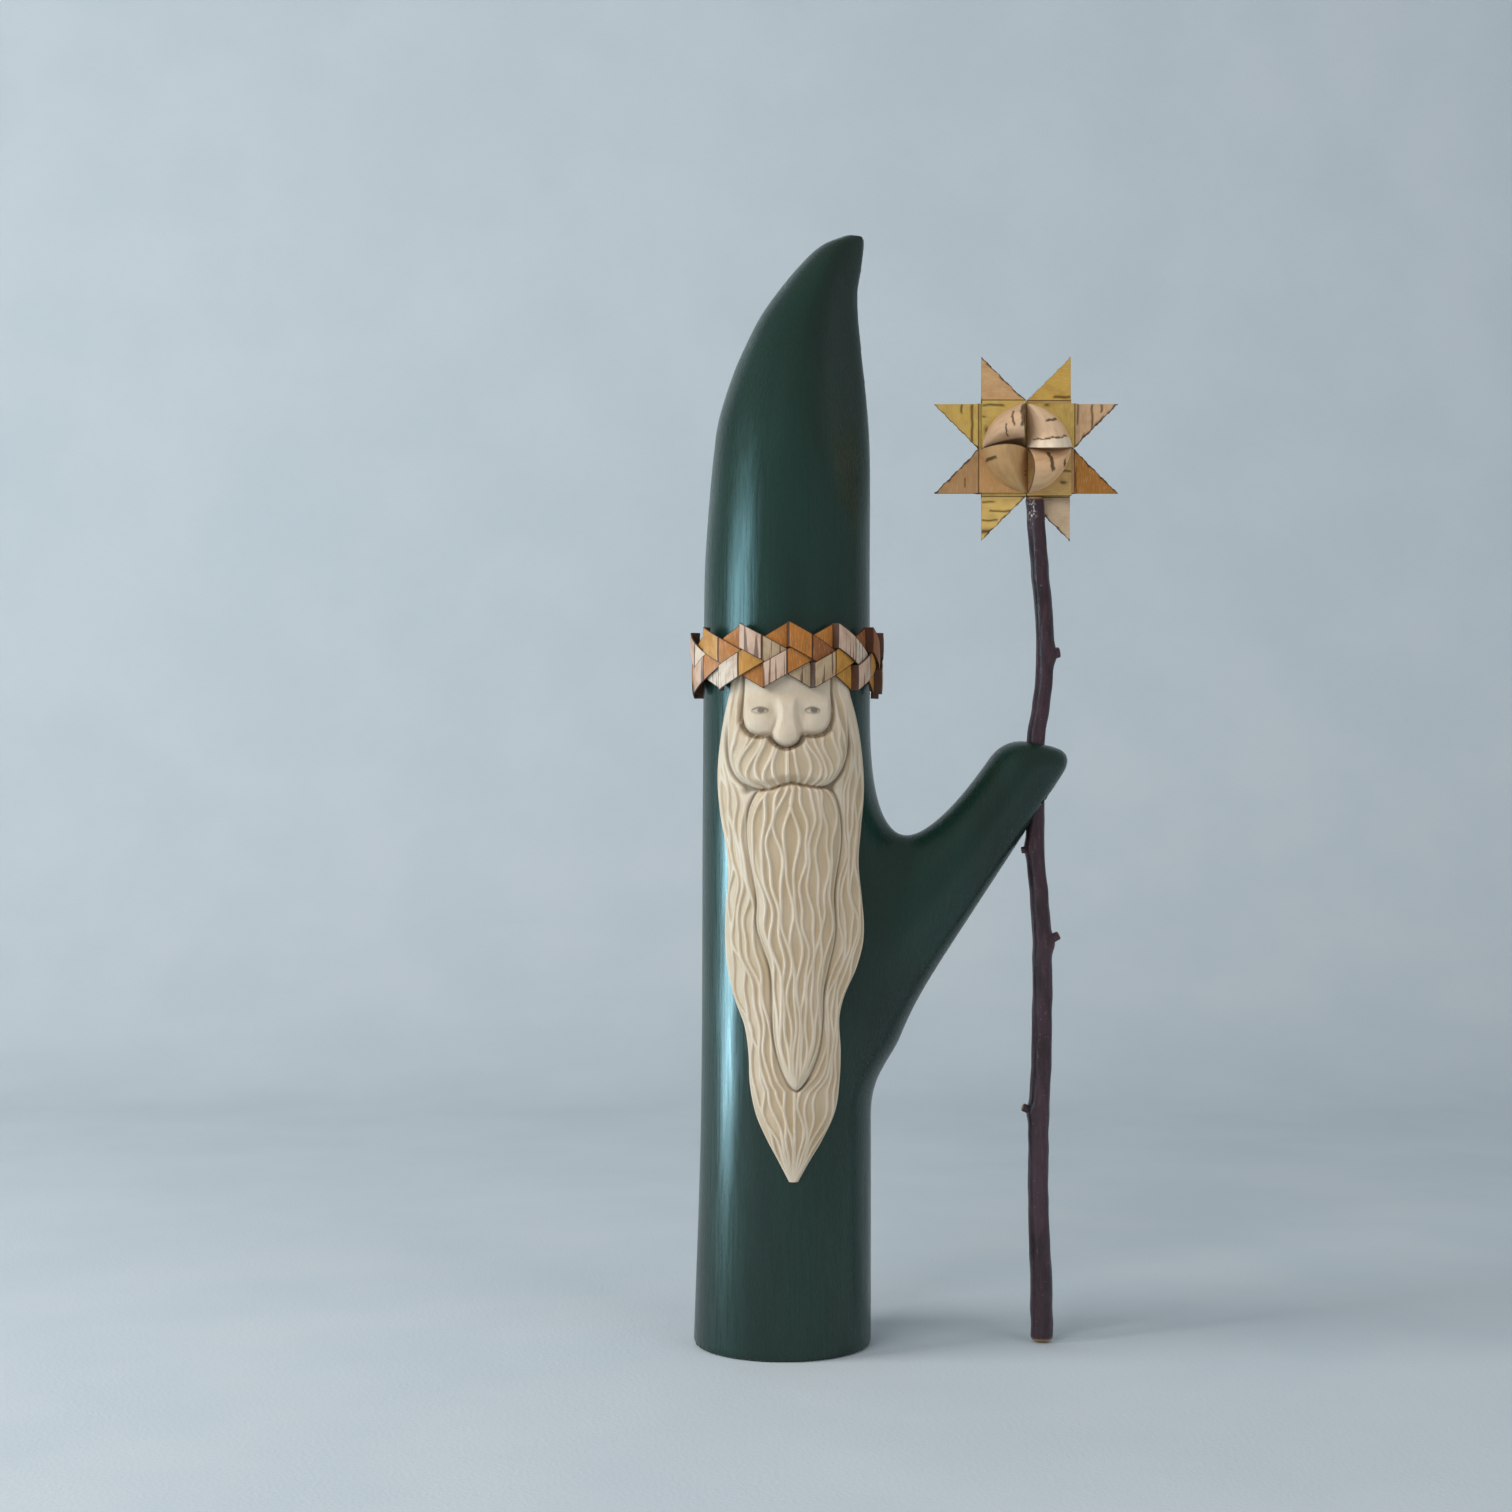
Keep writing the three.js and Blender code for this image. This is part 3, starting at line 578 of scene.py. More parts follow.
beard_right = [
    (75.6, 6.7), (81.6, 8.9), (88.6, 9.8), (96.5, 9.8), (102, 10.9), (110.6, 12.9), (116, 12.8),
    (121, 12.3), (126.7, 12.9), (132.7, 14.1), (138.7, 14.3)
]
hair_inner_left = curve_through(beard_left + [
    (141, -8.5), (146, -8.6), (149.5, -9.6), (152, -11), (155, -12.4), (158, -13.2), (163, -13.5),
    (169, -13), (175, -12.2), (relief_top, -11.4)
])
hair_inner_right = curve_through(beard_left[:1] + beard_right + [
    (144, 14), (148.3, 13.9), (151, 14.2), (153.5, 14.7), (156.4, 15.2), (160, 15.9), (164, 16),
    (170.6, 15.5), (175.9, 13.9), (relief_top, 13.2)
])
beard_outline = [(side, z) for z, side in beard_left] + [
    (-8.4, 141), (-7.5, 145.8), (-5.6, 149.2), (-2.5, 151.4), (2, 152), (7, 151.4), (10.6, 150.2),
    (12.3, 148.3), (13.6, 144)
] + [(side, z) for z, side in beard_right[::-1]] + [(4.6, 71.9)]
moustache_outline = [
    (-11.7, 190), (-12.2, 175), (-13, 169), (-13.5, 163), (-13.2, 158), (-12.2, 154.4),
    (-10.4, 151.8), (-8, 150.2), (-5.5, 149.5), (-3, 149.7), (-0.6, 150.6), (1.9, 151.5),
    (5, 150.8), (8.9, 150.1), (11.2, 150.7), (13.4, 153), (15.1, 156.4), (15.9, 160), (16, 164),
    (15.5, 170.6), (13.8, 175.9), (13.2, 190)
]
face_outline = [
    (-9.3, 190), (-9.4, 175), (-9.6, 170.8), (-9.4, 166.7), (-7.9, 164), (-5.2, 163), (-2.9, 163.6),
    (-2.4, 162.2), (-0.9, 160.7), (0.9, 160), (2.9, 160.7), (4.4, 162.2), (4.8, 163.8), (7, 163.3),
    (9.6, 163.9), (11.4, 166.4), (11.9, 170.8), (11.9, 175), (11.8, 190)
]
nose_outline = [
    (-1.9, 174.6), (-1.1, 171), (-1.3, 167.4), (-2.3, 164.6), (-2.4, 162.4), (-0.9, 160.7),
    (0.9, 160), (2.9, 160.7), (4.4, 162.4), (4.5, 164.6), (3.8, 167.4), (3.6, 171), (4.4, 174.6),
    (1.2, 175.6)
]


def rounded(corners):
    """A closed outline with its corners cut twice."""
    corners = np.array(corners, float)
    for _ in range(2):
        ahead = np.roll(corners, -1, axis=0)
        cut = np.stack([0.75 * corners + 0.25 * ahead, 0.25 * corners + 0.75 * ahead], axis=1)
        corners = cut.reshape(-1, 2)
    return corners


def depth_inside(corners, x, z):
    """Distance to a closed outline, positive inside it."""
    corners = rounded(corners)
    nearest = np.full(x.shape, 1e9)
    inside = np.zeros(x.shape, bool)
    for (ax, az), (bx, bz) in zip(corners, np.roll(corners, -1, axis=0)):
        dx, dz = bx - ax, bz - az
        t = np.clip(((x - ax) * dx + (z - az) * dz) / (dx * dx + dz * dz), 0, 1)
        nearest = np.minimum(nearest, np.hypot(x - ax - t * dx, z - az - t * dz))
        if dz:
            inside ^= ((az > z) != (bz > z)) & (x < ax + dx * (z - az) / dz)
    return np.where(inside, nearest, -nearest)


def side_of(corners, z, side):
    """The leftmost (-1) or rightmost (1) place of an outline at each height."""
    corners = rounded(corners)
    edge = np.full(z.shape, np.nan)
    for (ax, az), (bx, bz) in zip(corners, np.roll(corners, -1, axis=0)):
        if az == bz:
            continue
        here = (z >= min(az, bz)) & (z <= max(az, bz))
        at = ax + (bx - ax) * (z - az) / (bz - az)
        edge = np.where(here, np.fmax(edge * side, at * side) * side, edge)
    return edge


def strand_lines(z, left, right, count, seed, wave=0.5, lean=1):
    """Wandering ridge lines between two edges. A lean over 1 draws them to the left edge."""
    random = np.random.default_rng(seed)
    lines = [left, right]
    for share in np.arange(1, count) / count:
        long_wave = np.sin(2 * np.pi * z / random.uniform(21, 36) + random.uniform(0, 6.28))
        short_wave = np.sin(2 * np.pi * z / random.uniform(11, 16) + random.uniform(0, 6.28))
        bend = wave * (long_wave + 0.45 * short_wave) / count
        lines.append(left + (right - left) * np.clip(share ** lean + bend, 0.01, 0.99))
    return np.sort(np.stack(lines), axis=0)


def gouged(x, lines):
    """Flat-bottomed channels between thin ridges: each point's share of a channel's depth,
    and the width of that channel."""
    count = len(lines) - 1
    index = np.clip((lines <= x).sum(axis=0) - 1, 0, count - 1)
    low = np.take_along_axis(lines, index[None], axis=0)[0]
    high = np.take_along_axis(lines, index[None] + 1, axis=0)[0]
    width = np.maximum(high - low, thinnest_strand)
    from_ridge = np.minimum(x - low, high - x)
    hollow = 4 * np.clip((x - low) / width, 0, 1) * np.clip((high - x) / width, 0, 1)
    return smooth_step(0.06, 0.6, from_ridge) * (0.65 + 0.35 * hollow), width


def spot(x, z, centre_x, centre_z, width, height):
    return np.exp(-(((x - centre_x) / width) ** 2) - ((z - centre_z) / height) ** 2)


def pencilled_eye(x, z, centre_x, centre_z, half_width):
    """A lid line, a lower line and an iris, as shares of a pencil's tone."""
    t = (x - centre_x) / half_width
    open_part = np.clip(1 - t * t, 0, 1)
    upper = 0.85 * bump(z - centre_z - 0.85 * open_part + 0.15, 0.3)
    lower = 0.5 * bump(z - centre_z + 0.65 * open_part + 0.15, 0.26)
    inside = smooth_step(0, 0.3, open_part)
    iris = 0.8 * smooth_step(1.05, 0.65, np.hypot(x - centre_x - 0.3, z - centre_z - 0.05))
    white = 0.22 * smooth_step(0, 0.2, 0.7 * open_part - np.abs(z - centre_z))
    return np.maximum(np.maximum(upper, lower), np.maximum(iris, white)) * inside


def strand_channels(x, z, left, right, in_beard, in_moustache):
    """Strands of the hair, the central beard and the two halves of the moustache."""
    middle = blend(2.7, 1.6, smooth_step(60, 160, z))
    on_left = x < middle
    lip_left = side_of(moustache_outline, z, -1)
    lip_right = side_of(moustache_outline, z, 1)
    nose_line = np.full(z.shape, nose_x + 0.2)
    spread = blend(2.1, 0.9, smooth_step(151, 163, z))
    beard_sides = [side_of(beard_outline, z, side) for side in (-1, 1)]
    left_half = strand_lines(z, lip_left, nose_line, 9, 14, 0.35, spread)
    right_half = -strand_lines(z, -lip_right, -nose_line, 9, 15, 0.35, spread)[::-1]
    parts = [
        (on_left, strand_lines(z, left, hair_inner_left(z), 6, 11)),
        (~on_left, strand_lines(z, hair_inner_right(z), right, 6, 12)),
        (in_beard > 0, strand_lines(z, *beard_sides, 12, 13, 0.42)),
        ((in_moustache > 0) & on_left, left_half),
        ((in_moustache > 0) & ~on_left, right_half),
    ]
    channel = np.zeros(x.shape)
    width = np.full(x.shape, thinnest_strand)
    for mask, lines in parts:
        depths, widths = gouged(x, lines)
        channel = np.where(mask, depths, channel)
        width = np.where(mask, widths, width)
    return np.nan_to_num(channel), np.nan_to_num(width, nan=thinnest_strand)


def carve(x, z):
    """Height of the carving over the branch, what stains its channels, the pencil of its eyes, and the
    shade painted into its deep lines.
    """
    left = hair_left(z)
    right = hair_right(z)
    share = (x - (left + right) / 2) / np.maximum((right - left) / 2, 1)
    form = relief_edge + relief_rise * (1 - np.abs(share) ** 3) * smooth_step(relief_bottom, 60, z)

    in_face = depth_inside(face_outline, x, z)
    in_nose = depth_inside(nose_outline, x, z)
    in_moustache = depth_inside(moustache_outline, x, z)
    in_beard = depth_inside(beard_outline, x, z)
    in_hair = np.minimum(x - left, right - x)
    channel, width = strand_channels(x, z, left, right, in_beard, in_moustache)

    # Forms, one over the other
    beard_over = smooth_step(-0.2, 2.2, in_beard)
    lip_over = smooth_step(-0.2, 2.6, in_moustache) * smooth_step(173, 162, z)
    height = form + 0.85 * beard_over + 0.5 * beard_over * smooth_step(80, 150, z)
    height = np.where(in_moustache > -0.2, blend(height, form + 1.9, lip_over), height)
    face = form + 0.35
    sockets = spot(x, z, -4.5, 171.9, 3.6, 2.3) + spot(x, z, 6.9, 171.9, 3.6, 2.3)
    beside_nose = spot(x, z, -2.2, 169.6, 1.2, 3) + spot(x, z, 4.7, 169.6, 1.2, 3)
    cheeks = spot(x, z, -5.9, 166.7, 3.6, 3) + spot(x, z, 7.9, 166.7, 3.6, 3)
    lids = spot(x, z, -5.1, 170.1, 2.1, 1) + spot(x, z, 6.9, 170.1, 1.9, 1)
    face += 0.95 * cheeks - 0.7 * sockets - 0.7 * beside_nose + 0.3 * lids
    face *= blend(0.72, 1, smooth_step(0, 1.5, in_face))
    ball = spot(x, z, nose_x, 163.2, 3, 2.7)
    nose = form + 0.35 + blend(0.5, 1.3, smooth_step(174.5, 165, z)) + 1.1 * ball
    nose_over = smooth_step(0, 1.5, in_nose) * smooth_step(175.5, 172.5, z)
    face = blend(face, np.maximum(nose, face), nose_over)
    height = np.where(in_face > 0, face, height)

    # Gouged strands and the deep lines between the forms
    strand = channel * smooth_step(0.25, 1.0, width)
    strand = np.where(in_face > 0, 0, strand)
    height -= np.minimum(0.34 * width, 0.6) * strand
    round_face = bump(in_face + 0.28, 0.45)
    below_lip = bump(in_moustache + 0.25, 0.5) * (in_face < 0) * smooth_step(172, 160, z)
    round_beard = 0.85 * bump(in_beard + 0.2, 0.4) * (in_moustache < 0)
    pits = spot(x, z, -8.3, 149.2, 1.3, 1.1) + spot(x, z, 11.4, 150.2, 1.3, 1.1)
    round_nose = 0.45 * bump(in_nose + 0.1, 0.5) * (in_face > 0) * smooth_step(172, 167, z)
    deep = np.maximum(np.maximum(round_face, round_nose), np.maximum(below_lip, round_beard))
    deep = deep + 0.9 * pits * (in_moustache < 0)
    height -= 0.75 * np.minimum(deep, 1.2)
    # Painted shade: the deep lines between the forms, the pits at the moustache's ends and the hollows
    # beside the nose are darkened in colour too.
    shade = np.maximum(deep, 0.3 * beside_nose * (in_nose < 0.2) * (in_face > 0))
    edge = smooth_step(-0.1, 0.9, in_hair)
    height = np.maximum(height, 0.45) * blend(0.55, 1, edge)
    brow = brow_height - 0.3 * strand - 0.35 * np.minimum(deep, 1)
    height = blend(height, np.minimum(height, brow), smooth_step(171, 175.6, z))

    pencil = sum(pencilled_eye(x, z, *eye) for eye in eye_places)
    return height, {"channel": strand, "groove_shade": np.minimum(shade, 1), "pencil": np.minimum(pencil, 1)}


def stand_off(x, z, off):
    """Points that stand off the branch's front by the given heights."""
    outside = np.full(x.shape, -2.0 * trunk_depth)
    inside = np.zeros(x.shape)
    for _ in range(26):
        y = (outside + inside) / 2
        within = branch_field(x, y, z) < 0
        inside = np.where(within, y, inside)
        outside = np.where(within, outside, y)
    normal = slope_of(branch_field, x, inside, z, 0.05)
    normal /= np.linalg.norm(normal, axis=-1, keepdims=True)
    return np.stack([x, inside, z], axis=-1) + normal * off[..., None]


def make_carving():
    rows = 470
    columns = 240
    back_step = 8
    heights = np.linspace(relief_bottom, relief_top, rows)
    share = np.linspace(0, 1, columns + 1)
    left = hair_left(heights)[:, None]
    right = hair_right(heights)[:, None]
    x = left + (right - left) * share[None, :]
    z = np.repeat(heights[:, None], columns + 1, axis=1)
    height, marks = carve(x, z)
    front = stand_off(x, z, height + relief_lift)
    back = stand_off(x[:, ::back_step], z[:, ::back_step], np.full(x[:, ::back_step].shape, -relief_sink))
    rings = np.concatenate([front, back[:, ::-1]], axis=1)
    count = rings.shape[1]
    behind = np.zeros((rows, count - columns - 1))
    stains = {name: np.concatenate([values, behind], axis=1).ravel() for name, values in marks.items()}
    make_piece("carved_face_and_beard", rings.reshape(-1, 3), tube_faces(rows, count), carved_wood,
               "figure", ("face_and_beard",), stains, 60)


# Crown

crown_depth = plait_strips * (bark_thickness + touch_gap) + bark_thickness
crown_inner = max(trunk_width, trunk_depth) / 2 + crown_forward + crown_clearance
crown_radius = crown_inner + crown_depth / 2
crown_z = crown_rest + crown_height / 2 - crown_radius * math.tan(crown_tilt)

# Tones of the start, middle and end of each strip's legs: bark shows its orange outer side
# or its pale inner side. Legs out of sight are drawn from the ones in sight.
crown_tones = {"o": "#b6732f", "y": "#c08a3a", "b": "#8f5630", "p": "#cdb09c", "w": "#d8c8b6",
               "t": "#b8a283"}
pale_tones = "pwt"
# The brown middle of the first strip's first leg, (0, 0), is its orange side with painted shadow: there it
# lies under the lower edge of the strip over it.
seen_legs = {(0, 6): "pww", (1, 6): "yoo", (2, 6): "ptt", (0, 0): "oby", (1, 0): "pwy", (2, 0): "byy",
             (2, 5): "poo", (0, 7): "wyo", (1, 7): "poo", (2, 7): "tyb", (0, 1): "pyy"}
seam_share = 0.3  # of a leg, where its outer ply and first tone end
last_share = 0.66  # of a leg, where its last tone starts


def make_crown_strip(index):
    """One strip of the plait: a zigzag that dives from the outer to the inner layer on each
    leg, folds at the crown's edge and shows its other side on the next leg."""
    random = np.random.default_rng(40 + index)
    legs = 2 * plait_turns
    leg_run = 2 * math.pi * crown_radius / legs
    layer = (crown_depth - bark_thickness) / 2
    half_strip = (crown_height - 2 * crown_swing) / 2
    puff = 0.2
    ply_step = 0.1
    strip_bow = 0.12
    inward = np.array([0, 0.25, 0.55, 0.8, 0.9, 0.955, 0.985, 1])
    columns = np.concatenate([-inward[:0:-1], inward])
    close = np.array([0, 0.008, 0.018, 0.032])
    shares = np.concatenate([close, np.linspace(0.06, seam_share - 0.025, 8),
                             seam_share + np.array([-0.012, 0, 0.012]),
                             np.linspace(seam_share + 0.03, 0.94, 14), 1 - close[::-1]])
    rows = []
    for leg in range(legs):
        down = leg % 2 == 0
        drawn = list(seen_legs.values())[random.integers(len(seen_legs))]
        letters = seen_legs.get((index, leg), drawn)
        slip = random.uniform(-0.25, 0.25)
        for share in shares:
            along = blend(fold_run, leg_run - fold_run, share)
            swing = 1 - 2 * along / leg_run
            run = leg * leg_run + along + index * 2 * leg_run / plait_strips
            out = layer * (1 - 2 * share) + puff * math.sin(math.pi * min(share / 0.6, 1))
            out += ply_step if share <= seam_share else 0
            up = crown_swing * (swing if down else -swing) + slip * math.sin(math.pi * share)
            radius = crown_radius + out - strip_bow * columns ** 2
            angle = run / crown_radius
            forward = radius * math.cos(angle)
            z = crown_z + up + columns * half_strip + forward * math.tan(crown_tilt)
            x = trunk_middle + radius * math.sin(angle)
            letter = letters[0 if share <= seam_share else 1 if share < last_share else 2]
            fold = 1 - smooth_step(0.04, 0.2, min(share, 1 - share) * leg_run)
            seam = 1 - smooth_step(0.08, 0.28, abs(share - seam_share - 0.006) * leg_run)
            rows.append((np.stack([x, -forward - crown_forward, z], axis=1), leg * 30 + along,
                         letter, max(fold, 0.9 * seam)))
    places, runs, tones, folds = zip(*rows)
    solid, quads = thin_solid(np.array(places), bark_thickness, loop=True)
    flat = np.zeros((len(rows), len(columns)))
    edge = smooth_step(0.905, 0.975, np.abs(columns))
    pale = np.array([0.75 if letter in pale_tones else 0.12 for letter in tones])
    tone = np.array([colour(crown_tones[letter]) for letter in tones])
    marks = {
        "along": both_sides(np.array(runs)[:, None] + flat),
        "across": both_sides(columns * half_strip + 20 * index + flat),
        "rim": both_sides(np.maximum(edge, np.array(folds)[:, None])),
        "mark": both_sides(pale[:, None] + flat),
        "tone": both_sides(np.repeat(tone[:, None, :], len(columns), axis=1)),
    }
    make_piece(f"crown_bark_{index + 1}", solid, quads, crown_bark, "crown",
               (f"crown_strip_{index + 1}",), marks, 35)


# Staff: a bend is (height, offset, radius), a knot (height, side, reach, radius, rise in degrees)

staff_bends = [
    (foot_lift, 1.6, 3.1), (16, 1.5, 3.05), (36, 0.8, 2.85), (59, 0.8, 2.85), (76, 1.6, 2.85),
    (109, 1.7, 2.7), (121, 0.9, 2.6), (132, 0, 2.55), (150, 0, 2.55), (164, 0.2, 2.55),
    (172, 1.6, 2.5), (181, 2.4, 2.45), (190, 2.5, 2.5), (199, 2, 2.5), (209, 1.1, 2.5),
    (staff_top, -0.3, 2.55)
]
staff_offset = curve_through([(z, off) for z, off, _ in staff_bends])
staff_thickness = curve_through([(z, radius) for z, _, radius in staff_bends])
knots = [(185.5, 1, 4.1, 1.7, 10), (133.4, -1, 3.9, 1.1, -10), (107.7, 1, 5.1, 1.4, 25),
         (61.8, -1, 4.8, 1.3, 20)]


def make_staff():
    sides = 32
    flat_length = 5.4
    flat_gap = 0.45
    ridge_room = 0.08
    glue_x = staff_x - 1.4
    glue_z = staff_top - 4
    z, angle = np.meshgrid(np.linspace(foot_lift, staff_top, 300),
                           np.linspace(0, 2 * np.pi, sides, endpoint=False), indexing="ij")
    off_hand = smooth_step(5, 9, np.abs(z - (hand_top_z - arm_radius)))
    ridges = 0.07 * np.sin(5 * angle + wander(z, 3, (47, 19), (1.4, 0.6)))
    swells = 0.1 * wander(z, 4, (13, 7.3), (0.8, 0.5)) * np.cos(angle + z / 17)
    radius = staff_thickness(z) + (ridges + swells) * off_hand - ridge_room
    for knot_z, side, _, size, _ in knots:
        facing = np.cos(angle) * side
        radius = radius + 0.55 * size * bump(z - knot_z, 2.4) * smooth_step(0.1, 1, facing)
    ends = smooth_step(0, 0.8, np.minimum(z - foot_lift, staff_top - z) + 0.25)
    radius = radius * blend(0.86, 1, ends)
    x = staff_x + staff_offset(z) + radius * np.cos(angle)
    y = radius * np.sin(angle)
    back_flat = layer_over - star_bark / 2 - flat_gap
    y = np.where(z > staff_top - flat_length, np.minimum(y, back_flat), y)
    rings = np.stack([x, y, z], axis=-1).reshape(-1, 3)
    cut = np.zeros(z.shape)
    cut[[0, -1]] = 1
    parts = [(rings, tube_faces(len(z), sides), {"cut": cut.ravel()})]
    parts.extend(make_knot(*knot) for knot in knots)
    parts.append(make_tongue())
    points, faces, marks = joined(parts)
    x, y, z = points.T
    marks["glue"] = bump(z - glue_z, 2.6) * bump(x - glue_x, 1) * (y < 0)
    make_piece("twig_staff", points, faces, twig_bark, "staff_and_star", ("staff",),
               marks, 50)


def make_knot(z, side, reach, radius, rise):
    """A side twig cut off short, with its bark swelling round the cut."""
    sides = 16
    lean = math.radians(rise)
    base = np.array([staff_x + float(staff_offset(np.array(z))), 0, z])
    out = np.array([side * math.cos(lean), 0, math.sin(lean)])
    up = np.array([-side * math.sin(lean), 0, math.cos(lean)])
    profile = [(0.1, 1.25), (0.55, 1.12), (0.8, 1.0), (0.92, 0.98), (0.98, 0.9), (1.0, 0.72), (0.97, 0.3)]
    angle = np.linspace(0, 2 * np.pi, sides, endpoint=False)[:, None]
    around = np.cos(angle) * np.array([0, 1, 0]) + np.sin(angle) * up
    rings = [base + out * reach * along + radius * 0.85 * size * around for along, size in profile]
    cut = np.repeat([0.0, 0.0, 0.0, 0.0, 0.2, 1.0, 1.0], sides)
    return np.concatenate(rings), tube_faces(len(profile), sides), {"cut": cut}


def make_tongue():
    """The staff's flat end inside the star."""
    x = staff_x - 0.2
    low = np.array([x - 1.8, -0.4, staff_top - 1])
    high = np.array([x + 1.8, 0.4, staff_top + 8])
    corners = [(a, b, c) for a in (0, 1) for b in (0, 1) for c in (0, 1)]
    points = np.array([low + (high - low) * np.array(corner) for corner in corners])
    faces = [[0, 1, 3, 2], [4, 6, 7, 5], [0, 4, 5, 1], [2, 3, 7, 6], [0, 2, 6, 4], [1, 5, 7, 3]]
    return points, faces, {"cut": np.ones(len(points))}


# Star: tones of each strip's quarter, upper point and lower point, and dark marks across it.
# A mark is (distance along the strip from its middle, from side, to side, half its width).

star_tones = [
    ("#cbac5c", "#cca374", "#dfba6a"),
    ("#b99a50", "#cba67f", "#ceaa56"),
    ("#b7955b", "#cfb597", "#c59e4b"),
    ("#c1915c", "#b78c5f", "#a86f2b"),
]
star_marks = [
    [(-14.3, 0.0, 0.35, 0.3), (-16.8, 0.25, 1, 0.25), (-19.3, 0, 0.8, 0.25), (-22.3, 0, 1, 0.6),
     (11.6, 0.0, 0.5, 0.3), (8.6, 0, 0.1, 0.3), (5.0, 0.04, 0.12, 1.2)],
    [(17.8, 0.0, 1, 0.3), (20.3, 0.0, 0.5, 0.3), (13.7, 0, 0.5, 0.25), (-14.6, 0, 1, 0.35),
     (-17.4, 0, 0.35, 0.3), (5.5, 0, 0.06, 0.8)],
    [(-13.9, 0.0, 0.45, 0.45), (6.2, 0.0, 0.3, 0.3), (9.2, 0.1, 0.25, 0.5)],
    [(16.5, 0.2, 0.5, 0.15), (-13.2, 0.0, 0.6, 0.2)],
]

# How far the dark of a torn edge reaches in from the slant of the upper and lower point.
star_burrs = [(0.75, 0.6), (1.0, 0.15), (0.7, 0.1), (0.8, 0.7)]

# A curl's mark is (share from its corner to its rim, half its width in shares, and the
# shares round the arch where it starts and ends).
curl_tones = ["#dcb793", "#eecba6", "#ebc093", "#c9a16e"]
curl_lip = "#f5e2ca"
curl_marks = [
    [(0.52, 0.42, -0.1, 0.2), (0.8, 0.016, 0.45, 0.85), (0.64, 0.014, 0.25, 0.6),
     (0.975, 0.03, 0.4, 0.97)],
    [(0.5, 0.02, 0.55, 0.95), (0.83, 0.012, 0.1, 0.95)],
    [(0.62, 0.035, 0.15, 0.7), (0.3, 0.03, 0.6, 0.9)],
    [(0.82, 0.02, 0.75, 1.0), (0.4, 0.015, 0.0, 0.12), (0.48, 0.012, 0.0, 0.1)],
]


def turned(points, quarter_turns):
    """Points of a strip turned into its place in the star."""
    x, y, z = points[..., 0], points[..., 1], points[..., 2]
    for _ in range(quarter_turns):
        x, z = z, -x
    return np.stack([x + star_x, y, z + star_z], axis=-1)


def star_sheet(index, path):
    """A bark sheet along a path of (height, depth), narrowed to a point beyond the square."""
    step = 0.28
    legs = []
    for start, end in zip(path[:-1], path[1:]):
        steps = max(int(abs(end[0] - start[0]) / step), 2)
        legs.append(np.linspace(start, end, steps, endpoint=False))
    z, y = np.concatenate([*legs, path[-1:]]).T
    share = np.concatenate([[0, 0.015], np.linspace(0.04, 0.96, 16), [0.985, 1]])
    beyond = np.clip((np.abs(z) - star_end) / point_length, 0, 0.985)
    ragged = 0.2 * wander(z, 60 + index, (2.9, 1.1), (0.6, 0.4)) * (beyond > 0.02)
    width = star_strip * (1 - beyond) + ragged
    x = -star_half + width[:, None] * share[None, :]
    z_grid = np.repeat(z[:, None], len(share), axis=1)
    bow = 0.16 * wander(x + 7 * index, 70 + index, (19,), (1,)) * beyond[:, None]
    solid, quads = thin_solid(np.stack([x, y[:, None] + bow, z_grid], axis=-1), star_bark)
    palette = np.array([colour(code) for code in star_tones[index]])
    tone = palette[np.where(np.abs(z) < star_end + 0.2, 0, np.where(z > 0, 1, 2))]
    dark = np.zeros(x.shape)
    for along, side_start, side_end, half in star_marks[index]:
        side = (x + star_half) / np.maximum(width[:, None], 0.5)
        within = smooth_step(-0.02, 0.03, side - side_start) * smooth_step(-0.02, 0.03, side_end - side)
        waver = 0.12 * wander(x, int(100 + 7 * abs(along)), (6, 3), (0.7, 0.4))
        dark = np.maximum(dark, bump(z_grid - along - waver, half) * within)
    seam = bump(np.abs(z_grid) - star_end, 0.22) * 0.8
    burr = np.where(z > 0, *star_burrs[index]) * (1 + 0.7 * wander(z, 80 + index, (4.1, 1.7), (0.6, 0.4)))
    from_slant = (1 - share[None, :]) * width[:, None]
    slant = np.exp(-from_slant / np.maximum(burr, 0.05)[:, None]) * (beyond[:, None] > 0.01)
    outer = np.exp(-share[None, :] * width[:, None] / 0.15) * 0.5
    marks = {
        "along": both_sides(z_grid + 37 * index),
        "across": both_sides(x),
        "rim": both_sides(np.maximum(np.maximum(slant, outer), seam)),
        "mark": both_sides(np.minimum(dark, 1) * 0.9),
        "tone": both_sides(np.repeat(tone[:, None, :], len(share), axis=1)),
    }
    return turned(solid, index), quads, marks


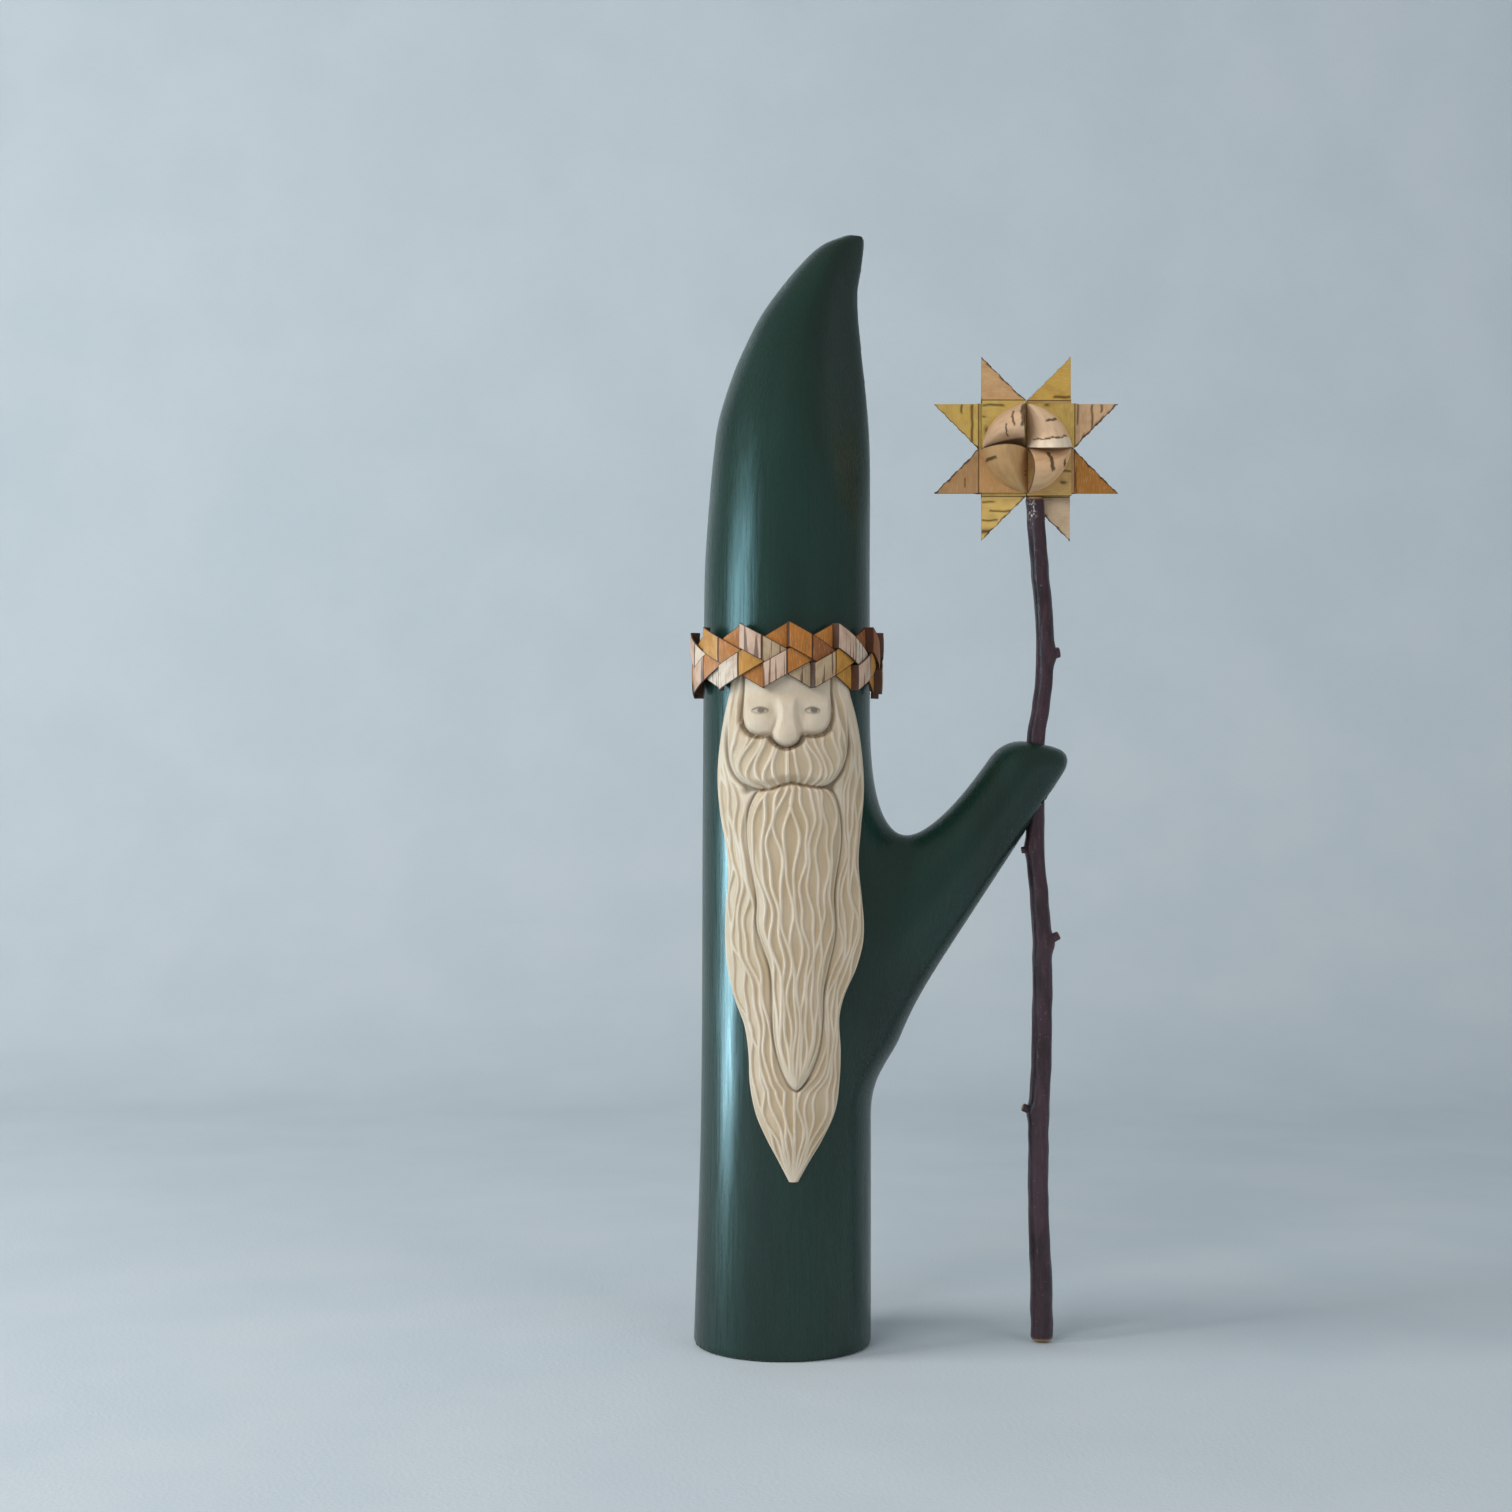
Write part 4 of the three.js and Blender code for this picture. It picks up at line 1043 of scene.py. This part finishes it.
def star_curl(index, side):
    """A scoop of bark from the far corner of its quarter to an open arch near the middle."""
    apex_x = 0.2 - star_half
    base = layer_over + star_bark / 2 - 0.05
    u, v = np.meshgrid(np.linspace(0.03, 1, 56), np.linspace(0, 1, 61), indexing="ij")
    arch = np.clip(np.sin(np.pi * v), 0, 1) ** 0.75
    rim_x = -curl_inset - curl_leans[index] * arch
    rim_z = blend(curl_inset, star_half, v)
    swell = curl_round * u * (1 - u) * v * math.sqrt(0.5)
    x = blend(apex_x, rim_x, u) - swell
    z = blend(curl_inset, rim_z, u) + swell
    depth = base + np.maximum(curl_height * arch - 0.25, 0) * u ** 0.85
    middle = np.stack([x, side * depth, z], axis=-1)
    dark = np.zeros(u.shape)
    for at, half, start, end in curl_marks[index]:
        within = smooth_step(-0.02, 0.04, v - start) * smooth_step(-0.02, 0.04, end - v)
        waver = 0.01 * wander(v * 20, int(90 * at) + index, (7, 3), (1, 0.5))
        dark = np.maximum(dark, smooth_step(1.5, 0.9, np.abs(u - at - waver) / half) * within)
    if side < 0:
        middle = middle[:, ::-1]
        v = v[:, ::-1]
        dark = dark[:, ::-1]
    solid, quads = thin_solid(middle, star_bark)
    lip = smooth_step(0.83, 0.86, u) * (index == 1)
    tone = blend(np.array(colour(curl_tones[index])), np.array(colour(curl_lip)), lip[..., None])
    marks = {
        "along": both_sides(v * 18 + 50 * index),
        "across": both_sides(u * 11),
        "rim": both_sides(smooth_step(0.975, 1, u) * 0.7),
        "mark": both_sides(0.85 * dark),
        "tone": both_sides(tone),
    }
    return turned(solid, index), quads, marks


def make_star_strip(index):
    """One strip: over its neighbour in one half of the square, under in the other."""
    tip = star_end + point_length
    ply = star_bark / 2 + 0.03
    lower_fold = 1.2
    upper_fold = 1.4
    parts = []
    for side in (-1, 1):
        lower = [(0.25, side * layer_under), (-star_end, side * layer_under),
                 (-star_end - lower_fold, side * ply), (-tip, side * ply)]
        upper = [(-0.25, side * layer_over), (star_end, side * layer_over),
                 (star_end + upper_fold, side * ply), (tip, side * ply)]
        if index == 2:  # this strip's upper point is one flat ply
            upper = upper[:2] if side < 0 else [upper[0], (tip, layer_over)]
        parts += [star_sheet(index, lower), star_sheet(index, upper), star_curl(index, side)]
    points, faces, marks = joined(parts)
    make_piece(f"star_bark_{index + 1}", points, faces, star_bark_look, "staff_and_star",
               (f"star_strip_{index + 1}",), marks, 35)


make_branch()
make_carving()
for strip in range(plait_strips):
    make_crown_strip(strip)
make_staff()
for strip in range(4):
    make_star_strip(strip)


# Camera, level with the figure's middle

camera_data = bpy.data.cameras.new("camera")
camera_data.sensor_width = 36
camera_data.lens = 59.52
camera_data.clip_start = 0.01
camera = add_object("camera", camera_data)
camera.location = (-0.0070, -0.675, 0.1582)
camera.rotation_euler = (math.radians(90), 0, 0)
bpy.context.scene.camera = camera


# Stage: a pale floor that sweeps up into a plain backdrop

def stage_look():
    look = Look("pale_stage")
    tone = look.over(colour("#c8d4dc"), "#cdd8df", look.noise(60 * MM, 3.0), 0.3, 0.7)
    look.shader.inputs["Specular IOR Level"].default_value = 0
    return look.finish(tone, 0.9, look.noise(1.2 * MM, 2.0), 0.1)


def make_stage():
    back = 700
    bend = 260
    half = 1600
    reach = 1500
    profile = [(-reach, 0), (back - bend, 0)]
    for angle in np.linspace(0, math.pi / 2, 17)[1:]:
        profile.append((back - bend + bend * math.sin(angle), bend - bend * math.cos(angle)))
    profile.append((back, reach))
    points = [(side * half, y, z) for y, z in profile for side in (-1, 1)]
    faces = [[2 * i, 2 * i + 1, 2 * i + 3, 2 * i + 2] for i in range(len(profile) - 1)]
    mesh = bpy.data.meshes.new("floor_and_backdrop")
    mesh.from_pydata([tuple(value * MM for value in point) for point in points], [], faces)
    mesh.polygons.foreach_set("use_smooth", [True] * len(mesh.polygons))
    mesh.materials.append(stage_look())
    stage = add_object("floor_and_backdrop", mesh)


def add_light(name, place, aim_height, width, height, watts, tint, shines=False):
    """A soft panel light aimed at the figure. One that shines is there for its reflection only."""
    data = bpy.data.lights.new(name, "AREA")
    data.shape = "RECTANGLE"
    data.size = width
    data.size_y = height
    data.energy = watts
    data.color = tint
    light = add_object(name, data)
    light.location = place
    aim = Vector((0, 0, aim_height)) - Vector(place)
    light.rotation_euler = aim.to_track_quat("-Z", "Y").to_euler()
    light.visible_glossy = shines
    light.visible_diffuse = not shines
    light.visible_camera = False


make_stage()
add_light("window", (-0.46, -0.2, 0.22), 0.19, 0.26, 0.15, 1.2, (0.43, 0.86, 1.0), True)
add_light("low_window", (-0.28, -0.035, 0.1), 0.1, 0.07, 0.14, 0.95, (0.47, 0.85, 1.0), True)
add_light("soft_key", (-0.6, -1.0, 0.75), 0.15, 0.7, 0.7, 5.2, (1.0, 0.985, 0.97))
add_light("side_light", (-0.95, -0.25, 0.6), 0.15, 0.5, 0.5, 7.2, (1.0, 0.985, 0.95))
add_light("soft_fill", (0.9, -0.9, 0.5), 0.15, 0.9, 0.9, 3.5, (1.0, 0.985, 0.96))

world = bpy.data.worlds.new("soft_room")
world.use_nodes = True
background = world.node_tree.nodes["Background"]
background.inputs["Color"].default_value = (0.84, 0.86, 0.88, 1)
background.inputs["Strength"].default_value = 0.32
bpy.context.scene.world = world

bpy.context.scene.view_settings.view_transform = "Standard"
